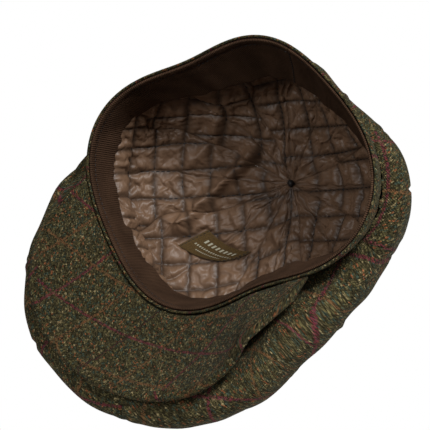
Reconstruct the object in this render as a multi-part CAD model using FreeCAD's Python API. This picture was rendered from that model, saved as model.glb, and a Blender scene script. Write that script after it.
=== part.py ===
"""Newsboy cap: eight cloth gores on a headband, a stiffened peak, a quilted lining and a covered button.

All sizes are in millimetres. The cap stands as it is worn, crown up, with its peak towards -Y and its left
side towards +X. The origin is the centre of the head opening. The opening's plane leans up at the front by
REST_TILT_DEG, because the cap rests on the back of its rim and on the edge of its drooping peak.
"""

import FreeCAD, Part
import math
import os

Vector = FreeCAD.Vector

# The soft head opening: its mean radius, and how far it leans out of round (cosine and sine of 1 to 5 lobes).
RIM_RADIUS = 91.5
RIM_LOBES = ((-1.5, 5.0), (-4.0, -10.3), (-1.0, 1.0), (4.5, 2.7), (-0.8, 1.2))
FRONT_ANGLE_DEG = 176.0
REST_TILT_DEG = 13.0
BACK_OF_RIM_Y = 86.5

# Bands round the opening. The sweatband is inside the rim line, the cloth strip outside it.
BAND_HEIGHT = 24.0
SWEATBAND_HEIGHT = 30.0
BAND_LEAN = (10.0, 7.0, -2.5, 2.8, 3.4)
STRIP_OFFSETS = (1.3, 2.7)
INTERLINING_OFFSETS = (0.3, 1.0)
SWEATBAND_OFFSETS = (-1.0, 0.0)
TOPSTITCH_OFFSETS = (-1.6, -1.2)
TOPSTITCH_HEIGHT = 5.0
TOPSTITCH_WIDTH = 0.5
BACK_JOIN_GAP = 0.5
SEAM_CLEARANCE = 0.5
STRIP_CLEARANCE = 1.5

# The peak: its reach from the rim, the rim length on each side of the front that it is sewn to with its crescent's
# fullness and power, how far the middle of its edge arches up from what the cap rests on, and its layers
# as (node, lower face, upper face, inset from the seam, inset from the edge), measured up from its underside.
PEAK_REACH = 66.5
PEAK_SPREAD = (112.0, 3.0, 1.2)
PEAK_HALF_BUILT = 106.0
PEAK_EDGE_RISE = 10.0
PEAK_RISE_HALF = 75.0
PEAK_DROOP_RATIO = 0.77
PEAK_ARCH = 2.5
PEAK_SEAM_OUT = 3.6
PEAK_SEAM_Z = 1.0
PEAK_LAYERS = (
    ("peak_under_cover", 0.0, 1.2, 0.0, 0.0),
    ("peak_board", 1.5, 3.0, 1.0, 4.0),
    ("peak_padding", 3.3, 4.3, 1.0, 5.0),
    ("peak_top_cover", 4.6, 5.8, 0.0, 0.0),
)

# The crown: eight gores. Each profile runs from the headband seam to the crown's centre, as
# (share of the rim's radius, distance out from the rim, height over the rim).
GORES = 8
CROWN_THICKNESS = 1.5
SEAM_GAP = 0.5
CROWN_FRONT_SPREAD = (145.0, 3.2, 2.0)
CROWN_SIDE = (
    (1.0, -1.5, 25.2), (1.0, 2.5, 26.5), (1.0, 5.5, 29.0), (1.0, 7.0, 33.0), (1.0, 6.8, 38.0),
    (1.0, 5.0, 44.0), (1.0, 1.5, 50.5), (1.0, -4.0, 57.5), (0.89, 0.0, 66.0), (0.77, 0.0, 75.0),
    (0.58, 0.0, 84.0), (0.34, 0.0, 90.5), (0.07, 0.0, 92.5),
)
CROWN_BACK = (
    (1.0, -10.5, 25.2), (1.0, -8.0, 26.5), (1.0, -6.0, 29.0), (1.0, -5.0, 33.0), (1.0, -5.5, 38.0),
    (1.0, -7.5, 44.0), (1.0, -11.0, 50.5), (1.0, -16.0, 57.5), (0.75, 0.0, 66.0), (0.64, 0.0, 75.0),
    (0.48, 0.0, 84.0), (0.29, 0.0, 90.5), (0.07, 0.0, 92.5),
)
CROWN_FRONT = (
    (1.0, 3.0, 17.0), (1.0, 16.0, 6.0), (1.0, 30.0, -4.5), (1.0, 44.0, -17.0), (1.0, 57.0, -28.5),
    (1.0, 67.5, -29.5), (1.0, 72.5, -19.5), (1.0, 66.0, 4.0), (1.0, 45.0, 33.5), (1.0, 12.5, 60.0),
    (0.80, 0.0, 79.0), (0.45, 0.0, 90.0), (0.07, 0.0, 92.5),
)

# The quilted lining: eight gores of satin with wadding behind, with profiles as for the crown.
SATIN_OFFSETS = (-0.8, 0.0)
WADDING_OFFSETS = (0.4, 3.0)
WADDING_START = 0.07
LINING_SIDE = (
    (1.0, -4.0, 37.0), (1.0, -5.0, 45.0), (1.0, -11.0, 54.0), (0.79, 0.0, 63.0),
    (0.62, 0.0, 73.0), (0.37, 0.0, 81.5), (0.07, 0.0, 85.0),
)
LINING_BACK = (
    (1.0, -13.0, 37.0), (1.0, -14.0, 45.0), (1.0, -20.0, 54.0), (0.68, 0.0, 63.0),
    (0.53, 0.0, 73.0), (0.33, 0.0, 81.5), (0.07, 0.0, 85.0),
)
LINING_FRONT = (
    (1.0, 1.0, 37.0), (1.0, 8.0, 45.0), (1.0, 4.0, 56.0), (0.90, 0.0, 66.0),
    (0.69, 0.0, 75.5), (0.39, 0.0, 82.5), (0.07, 0.0, 85.0),
)

# The woven label on the lining inside the front: centre and half size in degrees round and share up the lining,
# and how much it climbs the lining for each radian round.
LABEL_ANGLE_DEG = 158.5
LABEL_HALF_ANGLE_DEG = 13.5
LABEL_UP = (0.625, 0.765)
LABEL_CLIMB = 0.28
LABEL_OFFSETS = (-1.7, -1.2)

# The covered button on top, its tack through to the lining, and the press stud between peak and crown.
BUTTON_RADIUS = 11.0
BUTTON_HEIGHT = 6.0
BUTTON_CLOTH = 1.2
BUTTON_BASE_Z = 93.2
TACK_RADIUS = 0.8
KNOT_RADIUS = 2.2
KNOT_Z = 83.5
STUD_RADIUS = 5.0
STUD_ALONG_PEAK = 0.60
SOCKET_LIFT = 3.3

ROWS = 28
GORE_COLUMNS = 9
SMALL = 1e-3
SAME_WAY = 1


def rim_radius(angle):
    """Distance from the origin to the rim line at an angle counted from the back towards the left side."""
    radius = RIM_RADIUS
    for lobes, (cosine, sine) in enumerate(RIM_LOBES, start=1):
        radius += cosine * math.cos(lobes * angle) + sine * math.sin(lobes * angle)
    return radius


def rim_point(angle):
    """The rim line's x and y."""
    radius = rim_radius(angle)
    return radius * math.sin(angle), radius * math.cos(angle)


def rim_normal(angle):
    """Unit direction out of the opening, square to the rim line, smoothed over a few degrees."""
    before, after = rim_point(angle - 0.07), rim_point(angle + 0.07)
    run_x, run_y = after[0] - before[0], after[1] - before[1]
    length = math.hypot(run_x, run_y)
    return -run_y / length, run_x / length


def rim_arc_table():
    """Length of rim line from the front, at each degree."""
    table = [0.0]
    for degree in range(360):
        first, second = rim_point(math.radians(degree)), rim_point(math.radians(degree + 1))
        table.append(table[-1] + math.dist(first, second))
    return table


RIM_ARC = rim_arc_table()


def from_front(angle):
    """Rim length from the front centre to an angle, positive towards the right side."""
    degrees = math.degrees(angle) % 360.0
    low = int(degrees)
    here = RIM_ARC[low] + (degrees - low) * (RIM_ARC[low + 1] - RIM_ARC[low])
    front = RIM_ARC[int(FRONT_ANGLE_DEG)]
    half = RIM_ARC[-1] / 2
    return (here - front + half) % RIM_ARC[-1] - half


def bulge(distance, half_width, fullness, power):
    """A crescent's height over its base line: 1 in the middle, 0 at its two tips."""
    share = min(abs(distance) / half_width, 1.0)
    return (1.0 - share**fullness) ** power


def place(angle, share, out, height):
    """A point given by its angle, share of the rim's radius, distance out and height over the rim's plane."""
    x, y = rim_point(angle)
    normal_x, normal_y = rim_normal(angle)
    return Vector(share * x + out * normal_x, share * y + out * normal_y, height)


def to_rest(point):
    """Turn a point from the rim's plane to the cap at rest, the front of the rim raised."""
    tilt = math.radians(REST_TILT_DEG)
    return Vector(
        point.x,
        point.y * math.cos(tilt) + point.z * math.sin(tilt),
        point.z * math.cos(tilt) - point.y * math.sin(tilt),
    )


def blend(first, second, share):
    """Each number of two profile points, mixed."""
    return tuple(a + (b - a) * share for a, b in zip(first, second))


def curve_point(controls, share):
    """A point at a share of a smooth curve through its control points."""
    span = share * (len(controls) - 1)
    index = min(int(span), len(controls) - 2)
    t = span - index
    before = controls[max(index - 1, 0)]
    start, end = controls[index], controls[index + 1]
    after = controls[min(index + 2, len(controls) - 1)]
    return (
        start * 2
        + (end - before) * t
        + (before * 2 - start * 5 + end * 4 - after) * t**2
        + (start * 3 - before - end * 3 + after) * t**3
    ) * 0.5


def band_lean(angle, height):
    """How far the soft bands lean in over the opening at a height."""
    mean, back, left, ends, corners = BAND_LEAN
    lean = mean + back * math.cos(angle) + left * math.sin(angle)
    lean += ends * math.cos(2 * angle) + corners * math.sin(2 * angle)
    return lean * max(height / SWEATBAND_HEIGHT, 0.0) ** 1.3


def profile(angle, back, side, front, seam):
    """Control points of one meridian: its seam point, then the back, side and front shapes mixed by angle.

    Beside the headband's strip the cloth stays clear of it.
    """
    front_share = bulge(from_front(angle), *CROWN_FRONT_SPREAD)
    back_share = max(math.cos(angle), 0.0) ** 1.5
    points = [place(angle, *seam)]
    for back_point, side_point, front_point in zip(back, side, front):
        share, out, height = blend(blend(side_point, back_point, back_share), front_point, front_share)
        if height < BAND_HEIGHT + 3.0:
            out = max(out, STRIP_OFFSETS[1] + STRIP_CLEARANCE - band_lean(angle, height))
        points.append(place(angle, share, out, height))
    return points


def crown_point(angle, share):
    """A point on the crown's outside, from the headband seam (0) to its centre (1)."""
    height = BAND_HEIGHT + 0.5
    seam = (1.0, STRIP_OFFSETS[1] + SEAM_CLEARANCE - band_lean(angle, height), height)
    return curve_point(profile(angle, CROWN_BACK, CROWN_SIDE, CROWN_FRONT, seam), share)


def lining_point(angle, share):
    """A point on the back of the lining's satin, from the sweatband (0) to its centre (1)."""
    height = SWEATBAND_HEIGHT + 0.9
    seam = (1.0, -0.2 - band_lean(angle, height), height)
    return curve_point(profile(angle, LINING_BACK, LINING_SIDE, LINING_FRONT, seam), share)


def peak_edge(angle):
    """Distance out and height of the peak's edge, its droop ending on the surface that the cap rests on."""
    reach = PEAK_REACH * bulge(from_front(angle), *PEAK_SPREAD)
    y, normal_y = rim_point(angle)[1], rim_normal(angle)[1]
    out = 0.7 * reach
    rise = PEAK_EDGE_RISE * bulge(from_front(angle), PEAK_RISE_HALF, 2.0, 2.0)
    droop = PEAK_DROOP_RATIO * reach
    for _ in range(4):
        rest = (BACK_OF_RIM_Y - y - out * normal_y) * math.tan(math.radians(REST_TILT_DEG)) - rise
        droop = min(PEAK_DROOP_RATIO * reach, rest)
        out = math.sqrt(reach**2 - droop**2)
    return out, -droop, reach


def peak_point(angle, share, seam_inset=0.0, edge_inset=0.0):
    """A point on the peak's underside, from its seam (0) to its edge (1)."""
    out, drop, reach = peak_edge(angle)
    usable = max(reach, SMALL)
    low, high = seam_inset / usable, 1.0 - edge_inset / usable
    along = low + (high - low) * share
    arch = PEAK_ARCH * (reach / PEAK_REACH) * 4.0 * along * (1.0 - along)
    return place(
        angle,
        1.0,
        PEAK_SEAM_OUT + out * along + arch * 0.5,
        PEAK_SEAM_Z + (drop - PEAK_SEAM_Z) * along + arch,
    )


def offset_point(surface, angle, share, distance):
    """A point moved square to a surface: up through the peak, or into the crown, for a positive distance."""
    step = 0.004
    up = min(share + step, 1.0)
    down = max(share - step, 0.0)
    along = surface(angle, up) - surface(angle, down)
    across = surface(angle + step, share) - surface(angle - step, share)
    normal = across.cross(along)
    normal.normalize()
    return surface(angle, share) + normal * distance


def patch(surface, angles, shares, distance):
    """A grid of points over the crown or the lining, a distance outside it.

    angles gives the two side angles at each share up the surface.
    """
    columns = []
    for column in range(GORE_COLUMNS):
        across = column / (GORE_COLUMNS - 1)
        points = []
        for share in shares:
            first, second = angles(share)
            angle = first + (second - first) * across
            points.append(to_rest(offset_point(surface, angle, share, -distance)))
        columns.append(points)
    return columns


def sheet_solid(inner, outer):
    """A closed solid between two grids of points."""
    surfaces = []
    for grid in (inner, outer):
        surface = Part.BSplineSurface()
        surface.interpolate(grid)
        surfaces.append(surface)
    faces = [surface.toShape() for surface in surfaces]
    first, second = surfaces
    u0, u1, v0, v1 = first.bounds()
    s0, s1, t0, t1 = second.bounds()
    pairs = (
        (first.uIso(u0), second.uIso(s0)),
        (first.uIso(u1), second.uIso(s1)),
        (first.vIso(v0), second.vIso(t0)),
        (first.vIso(v1), second.vIso(t1)),
    )
    for start, end in pairs:
        faces.append(Part.makeRuledSurface(start.toShape(), end.toShape(), SAME_WAY))
    shell = Part.makeShell(faces)
    shell.sewShape()
    solid = Part.makeSolid(shell)
    if solid.Volume < 0:
        solid.reverse()
    return solid


def even(count):
    """Shares from 0 to 1."""
    return [index / (count - 1) for index in range(count)]


def gore(surface, number, offsets, low=0.0):
    """One gore of the crown or the lining, a seam gap narrower than its eighth, from a share up it."""
    width = 2 * math.pi / GORES
    start = number * width

    def angles(share):
        point = surface(start + width / 2, share)
        margin = SEAM_GAP / 2 / math.hypot(point.x, point.y)
        return start + margin, start + width - margin

    shares = [low + (1.0 - low) * share for share in even(ROWS)]
    return sheet_solid(*(patch(surface, angles, shares, offset) for offset in offsets))


def band(offsets, bottom, top):
    """A strip round the opening with a butt join at the centre back."""
    gap = BACK_JOIN_GAP / 2 / rim_radius(0.0)
    grids = []
    for offset in offsets:
        columns = []
        for column in even(73):
            angle = gap + (2 * math.pi - 2 * gap) * column
            points = []
            for share in even(5):
                height = bottom + (top - bottom) * share
                points.append(to_rest(place(angle, 1.0, offset - band_lean(angle, height), height)))
            columns.append(points)
        grids.append(columns)
    return sheet_solid(*grids)


def angle_at(distance):
    """The angle at a rim length from the front centre, found by halving."""
    front = math.radians(FRONT_ANGLE_DEG)
    low, high = front - 2.6, front + 2.6
    for _ in range(40):
        middle = (low + high) / 2
        if from_front(middle) < distance:
            low = middle
        else:
            high = middle
    return (low + high) / 2


def peak_layer(lower, upper, seam_inset, edge_inset):
    """One layer of the peak."""
    tips = PEAK_HALF_BUILT - 1.5 * (seam_inset + edge_inset)
    grids = []
    for offset in (lower, upper):
        columns = []
        for column in even(41):
            angle = angle_at(tips * (2 * column - 1))

            def surface(at, share):
                return peak_point(at, share, seam_inset, edge_inset)

            columns.append([to_rest(offset_point(surface, angle, share, offset)) for share in even(9)])
        grids.append(columns)
    return sheet_solid(*grids)


def label():
    """The woven label, following the lining."""
    middle, half = math.radians(LABEL_ANGLE_DEG), math.radians(LABEL_HALF_ANGLE_DEG)
    low, high = LABEL_UP
    shares = [low + (high - low) * share for share in even(7)]

    def angles(share):
        return middle - half, middle + half

    def climbing(angle, share):
        return lining_point(angle, share + LABEL_CLIMB * (angle - middle))

    return sheet_solid(*(patch(climbing, angles, shares, offset) for offset in LABEL_OFFSETS))


def dome(radius, height, base):
    """A cap of a ball, flat side down."""
    ball = (radius**2 + height**2) / (2 * height)
    solid = Part.makeSphere(ball, Vector(0, 0, base + height - ball))
    keep = Part.makeBox(4 * ball, 4 * ball, 4 * ball, Vector(-2 * ball, -2 * ball, base))
    return solid.common(keep)


def lean_solid(solid):
    """A solid built over the rim's plane, turned to the cap at rest."""
    turned = solid.copy()
    turned.rotate(Vector(0, 0, 0), Vector(1, 0, 0), -REST_TILT_DEG)
    return turned


def button_parts():
    """The covered button's shell, its cloth, and the tack that holds both lining and button."""
    outer = dome(BUTTON_RADIUS, BUTTON_HEIGHT, BUTTON_BASE_Z)
    hollow = dome(BUTTON_RADIUS - BUTTON_CLOTH, BUTTON_HEIGHT - BUTTON_CLOTH, BUTTON_BASE_Z)
    shell = dome(BUTTON_RADIUS - BUTTON_CLOTH - 0.2, BUTTON_HEIGHT - BUTTON_CLOTH - 0.2, BUTTON_BASE_Z)
    knot = Part.makeSphere(KNOT_RADIUS, Vector(0, 0, KNOT_Z))
    tack = Part.makeCylinder(TACK_RADIUS, BUTTON_BASE_Z - 0.2 - KNOT_Z, Vector(0, 0, KNOT_Z)).fuse(knot)
    return {
        "top_button_cover": lean_solid(outer.cut(hollow)),
        "top_button_shell": lean_solid(shell),
        "button_tack": lean_solid(tack.removeSplitter()),
    }


def press_stud_parts():
    """The press stud's two halves, undone: the ball on the peak, the socket on the crown above it."""
    angle = math.radians(FRONT_ANGLE_DEG)
    top = PEAK_LAYERS[-1][2]
    foot = to_rest(offset_point(peak_point, angle, STUD_ALONG_PEAK, top + 0.3))
    tip = to_rest(offset_point(peak_point, angle, STUD_ALONG_PEAK, top + 1.3))
    up = tip - foot
    stud = Part.makeCylinder(STUD_RADIUS, 0.7, foot, up)
    stud = stud.fuse(Part.makeCylinder(1.5, 0.8, foot + up * 0.7, up))
    socket = Part.makeCylinder(STUD_RADIUS, 1.0, foot + up * SOCKET_LIFT, up)
    return {"peak_press_stud": stud.removeSplitter(), "crown_press_socket": socket}


def build():
    """Every node of the cap and its solid."""
    solids = {}
    for number in range(GORES):
        solids[f"crown_gore_{number + 1}"] = gore(crown_point, number, (-CROWN_THICKNESS, 0.0))
        solids[f"lining_satin_{number + 1}"] = gore(lining_point, number, SATIN_OFFSETS)
        solids[f"lining_wadding_{number + 1}"] = gore(lining_point, number, WADDING_OFFSETS, WADDING_START)
    solids["headband_strip"] = band(STRIP_OFFSETS, 0.0, BAND_HEIGHT)
    solids["headband_interlining"] = band(INTERLINING_OFFSETS, 1.0, BAND_HEIGHT - 1.0)
    solids["sweatband"] = band(SWEATBAND_OFFSETS, 0.3, SWEATBAND_HEIGHT)
    stitch_bottom = TOPSTITCH_HEIGHT
    solids["sweatband_topstitch"] = band(TOPSTITCH_OFFSETS, stitch_bottom, stitch_bottom + TOPSTITCH_WIDTH)
    for name, lower, upper, seam_inset, edge_inset in PEAK_LAYERS:
        solids[name] = peak_layer(lower, upper, seam_inset, edge_inset)
    solids["label"] = label()
    solids.update(button_parts())
    solids.update(press_stud_parts())
    return solids


os.makedirs("parts", exist_ok=True)
for node, solid in build().items():
    solid.exportStep(f"parts/{node}.step")
    box = solid.BoundBox
    print(
        f"{node:24s} valid {solid.isValid()} volume {solid.Volume:9.1f}"
        f" x {box.XMin:7.1f} {box.XMax:7.1f} y {box.YMin:7.1f} {box.YMax:7.1f} z {box.ZMin:7.1f} {box.ZMax:7.1f}"
    )
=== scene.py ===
"""Newsboy cap: cloth, quilting, stitching and finishes over the CAD frame, with stage, lights and camera.

Lengths are in millimetres in the rim frame: the head opening's rim is in the plane z = 0, the peak is towards
-Y, the wearer's left towards +X, and angles run from the back towards the left. HeadForm.at_rest() turns that
frame to the cap at rest, in metres.
"""

import logging
import math
from dataclasses import dataclass, field
from enum import Enum
from typing import Callable, Optional, Sequence, Union

import bmesh
import bpy
import numpy as np
from mathutils import Matrix, Vector


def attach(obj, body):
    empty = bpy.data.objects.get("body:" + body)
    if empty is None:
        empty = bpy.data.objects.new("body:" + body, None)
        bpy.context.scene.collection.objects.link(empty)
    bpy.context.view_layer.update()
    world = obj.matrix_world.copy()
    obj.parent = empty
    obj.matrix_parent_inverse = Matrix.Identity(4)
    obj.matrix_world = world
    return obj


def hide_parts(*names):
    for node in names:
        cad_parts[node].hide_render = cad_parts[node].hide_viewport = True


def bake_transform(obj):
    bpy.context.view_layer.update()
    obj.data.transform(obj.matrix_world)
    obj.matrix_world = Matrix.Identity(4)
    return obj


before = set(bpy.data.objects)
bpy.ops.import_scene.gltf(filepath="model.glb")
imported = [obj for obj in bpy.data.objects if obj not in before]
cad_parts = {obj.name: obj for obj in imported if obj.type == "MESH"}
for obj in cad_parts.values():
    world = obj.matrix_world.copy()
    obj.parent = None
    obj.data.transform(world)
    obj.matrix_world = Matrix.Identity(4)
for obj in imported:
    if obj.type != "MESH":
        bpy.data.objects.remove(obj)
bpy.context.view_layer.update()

logging.basicConfig(level=logging.INFO, format="%(message)s")
log = logging.getLogger("cap")

Array = np.ndarray
Surface = Callable[[Array, Array], Array]
Socket = Union[bpy.types.NodeSocket, float, tuple]

MM = 0.001
GORES = 8
GORE_ANGLE = 2.0 * math.pi / GORES
SEED = 11


class Weave(Enum):
    """How a woven finish's ribs run on its cloth."""

    TWILL = "diagonal"
    RIBBED = "across"


# ------------------------------------------------------------------ forms


def spline(controls: Array, share: Array) -> Array:
    """Points on smooth curves through control points.

    Args:
        controls: (K, N, C) control points of N curves.
        share: (N,) how far along its own curve each point is, 0 to 1.

    Returns:
        (N, C) points.
    """
    count = len(controls)
    span = np.clip(share, 0.0, 1.0) * (count - 1)
    index = np.minimum(span.astype(int), count - 2)
    t = (span - index)[:, None]
    row = np.arange(controls.shape[1])
    before = controls[np.maximum(index - 1, 0), row]
    start, end = controls[index, row], controls[index + 1, row]
    after = controls[np.minimum(index + 2, count - 1), row]
    return 0.5 * (
        2 * start
        + (end - before) * t
        + (2 * before - 5 * start + 4 * end - after) * t**2
        + (3 * start - before - 3 * end + after) * t**3
    )


def bulge(distance: Array, half_width: float, fullness: float, power: float) -> Array:
    """A crescent's height over its base line: 1 in the middle, 0 at its two tips."""
    return (1.0 - np.minimum(np.abs(distance) / half_width, 1.0) ** fullness) ** power


def bump(distance: Array, width: float) -> Array:
    """A soft ridge: 1 on its line, falling away over a width."""
    return np.exp(-((distance / width) ** 2))


@dataclass(frozen=True)
class Ripple:
    """Soft unevenness that is the same wherever the same place is asked for: a sum of slow waves.

    Args:
        seed: which set of waves.
        length: mean wavelength in mm.
        height: largest displacement in mm.
    """

    seed: int
    length: float
    height: float
    waves: int = 9

    def at(self, points: Array) -> Array:
        """Displacement at (N, 3) points."""
        rng = np.random.default_rng(self.seed)
        total = np.zeros(len(points))
        for _ in range(self.waves):
            way = rng.normal(size=3)
            way *= 2 * math.pi / (np.linalg.norm(way) * self.length * rng.uniform(0.7, 1.5))
            total += np.sin(points @ way + rng.uniform(0, 2 * math.pi))
        return self.height * total / math.sqrt(self.waves)


@dataclass(frozen=True)
class HeadForm:
    """The soft head opening that every band, gore and layer starts from, as in the CAD.

    Args:
        radius: the rim's mean radius.
        lobes: (cosine, sine) of 1 to 5 lobes that take it out of round.
        front: the angle of the front centre.
        tilt: how far the rim's plane leans up at the front, at rest.
        back_y: the back of the rim, on which the cap rests.
        lean_shape, lean_height: how the bands lean in, and by what height.
    """

    radius: float = 91.5
    lobes: tuple = ((-1.5, 5.0), (-4.0, -10.3), (-1.0, 1.0), (4.5, 2.7), (-0.8, 1.2))
    front: float = math.radians(176.0)
    tilt: float = math.radians(13.0)
    back_y: float = 86.5
    lean_shape: tuple = (10.0, 7.0, -2.5, 2.8, 3.4)
    lean_height: float = 30.0

    def rim_radius(self, angle: Array) -> Array:
        """Distance of the rim line from the middle of the opening."""
        radius = np.full_like(angle, self.radius, dtype=float)
        for lobe, (cosine, sine) in enumerate(self.lobes, start=1):
            radius = radius + cosine * np.cos(lobe * angle) + sine * np.sin(lobe * angle)
        return radius

    def rim(self, angle: Array) -> Array:
        """(N, 2) points of the rim line."""
        radius = self.rim_radius(angle)
        return np.stack([radius * np.sin(angle), radius * np.cos(angle)], axis=1)

    def outward(self, angle: Array) -> Array:
        """(N, 2) unit directions out of the opening, square to the rim."""
        run = self.rim(angle + 0.07) - self.rim(angle - 0.07)
        run /= np.linalg.norm(run, axis=1, keepdims=True)
        return np.stack([-run[:, 1], run[:, 0]], axis=1)

    def arc_table(self) -> tuple[Array, Array]:
        """Angles of one turn and the rim length up to each, with the whole length last."""
        angles = np.radians(np.arange(0.0, 361.0))
        steps = np.linalg.norm(np.diff(self.rim(angles), axis=0), axis=1)
        return angles, np.concatenate([[0.0], np.cumsum(steps)])

    def from_front(self, angle: Array) -> Array:
        """Rim length from the front centre, positive towards the right side."""
        angles, lengths = self.arc_table()
        here = np.interp(np.mod(angle, 2 * math.pi), angles, lengths)
        middle = np.interp(self.front, angles, lengths)
        half = lengths[-1] / 2
        return np.mod(here - middle + half, lengths[-1]) - half

    def angle_at(self, distance: Array) -> Array:
        """The angle at a rim length from the front centre."""
        angles = self.front + np.linspace(-2.6, 2.6, 1041)
        return np.interp(distance, self.from_front(angles), angles)

    def place(self, angle: Array, share: Array, out: Array, height: Array) -> Array:
        """(N, 3) points by angle, share of the rim's radius, distance out, and height over the rim."""
        flat = self.rim(angle) * np.broadcast_to(share, angle.shape)[:, None]
        flat = flat + self.outward(angle) * np.broadcast_to(out, angle.shape)[:, None]
        return np.column_stack([flat, np.broadcast_to(height, angle.shape)])

    def band_lean(self, angle: Array, height: Array) -> Array:
        """How far the soft bands lean in over the opening at a height."""
        mean, back, left, ends, corners = self.lean_shape
        lean = mean + back * np.cos(angle) + left * np.sin(angle)
        lean = lean + ends * np.cos(2 * angle) + corners * np.sin(2 * angle)
        return lean * np.maximum(height / self.lean_height, 0.0) ** 1.3

    def at_rest(self, points: Array) -> Array:
        """Points of the rim frame in mm turned to the cap at rest, in metres."""
        cosine, sine = math.cos(self.tilt), math.sin(self.tilt)
        x, y, z = points[:, 0], points[:, 1], points[:, 2]
        return np.column_stack([x, y * cosine + z * sine, z * cosine - y * sine]) * MM

    def turn(self, way: Sequence[float]) -> Vector:
        """A direction of the rim frame turned to the cap at rest."""
        return Vector(self.at_rest(np.array([way], float))[0] / MM)


HEAD = HeadForm()


@dataclass(frozen=True)
class DomeForm:
    """A gored dome: meridians from a seam on the headband to the middle of the crown.

    Args:
        back, side, front: (share of the rim's radius, distance out, height) from the seam up.
        seam: (distance out before the band's lean, height) of the seam.
        clearance: how far outside the headband's strip the cloth stays beside it.
    """

    back: tuple
    side: tuple
    front: tuple
    seam: tuple[float, float]
    clearance: Optional[float] = None
    spread: tuple[float, float, float] = (145.0, 3.2, 2.0)

    def controls(self, angle: Array) -> Array:
        """(K, N, 3) control points of the meridians at N angles."""
        front = bulge(HEAD.from_front(angle), *self.spread)[:, None]
        back = (np.maximum(np.cos(angle), 0.0) ** 1.5)[:, None]
        out, height = self.seam
        rows = [HEAD.place(angle, 1.0, out - HEAD.band_lean(angle, height), height)]
        for behind, beside, ahead in zip(self.back, self.side, self.front):
            point = np.array(beside) + (np.array(behind) - np.array(beside)) * back
            point = point + (np.array(ahead) - point) * front
            if self.clearance is not None:
                least = self.clearance - HEAD.band_lean(angle, point[:, 2])
                low = point[:, 2] < 27.0
                point[:, 1] = np.where(low, np.maximum(point[:, 1], least), point[:, 1])
            rows.append(HEAD.place(angle, point[:, 0], point[:, 1], point[:, 2]))
        return np.stack(rows)

    def at(self, angle: Array, share: Array) -> Array:
        """(N, 3) points of the smooth dome."""
        return spline(self.controls(angle), share)

    def outward(self, angle: Array, share: Array) -> Array:
        """(N, 3) unit directions out of the dome."""
        step = 0.006
        along = self.at(angle, np.minimum(share + step, 1.0)) - self.at(angle, np.maximum(share - step, 0.0))
        across = self.at(angle + step, share) - self.at(angle - step, share)
        normal = np.cross(along, across)
        return normal / np.maximum(np.linalg.norm(normal, axis=1, keepdims=True), 1e-9)


CROWN = DomeForm(
    side=((1, -1.5, 25.2), (1, 2.5, 26.5), (1, 5.5, 29), (1, 7, 33), (1, 6.8, 38), (1, 5, 44), (1, 1.5, 50.5),
          (1, -4, 57.5), (0.89, 0, 66), (0.77, 0, 75), (0.58, 0, 84), (0.34, 0, 90.5), (0.07, 0, 92.5)),
    back=((1, -10.5, 25.2), (1, -8, 26.5), (1, -6, 29), (1, -5, 33), (1, -5.5, 38), (1, -7.5, 44),
          (1, -11, 50.5), (1, -16, 57.5), (0.75, 0, 66), (0.64, 0, 75), (0.48, 0, 84), (0.29, 0, 90.5), (0.07, 0, 92.5)),
    front=((1, 3, 17), (1, 16, 6), (1, 30, -4.5), (1, 44, -17), (1, 57, -28.5), (1, 67.5, -29.5),
           (1, 72.5, -19.5), (1, 66, 4), (1, 45, 33.5), (1, 12.5, 60), (0.8, 0, 79), (0.45, 0, 90), (0.07, 0, 92.5)),
    seam=(3.2, 24.5),
    clearance=4.2,
)
LINING = DomeForm(
    side=((1, -4, 37), (1, -5, 45), (1, -11, 54), (0.79, 0, 63), (0.62, 0, 73), (0.37, 0, 81.5),
          (0.012, 0, 85.5)),
    back=((1, -13, 37), (1, -14, 45), (1, -20, 54), (0.68, 0, 63), (0.53, 0, 73), (0.33, 0, 81.5),
          (0.012, 0, 85.5)),
    front=((1, 1, 37), (1, 8, 45), (1, 4, 56), (0.9, 0, 66), (0.69, 0, 75.5), (0.39, 0, 82.5),
           (0.012, 0, 85.5)),
    seam=(0.6, 26.5),
)


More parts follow.
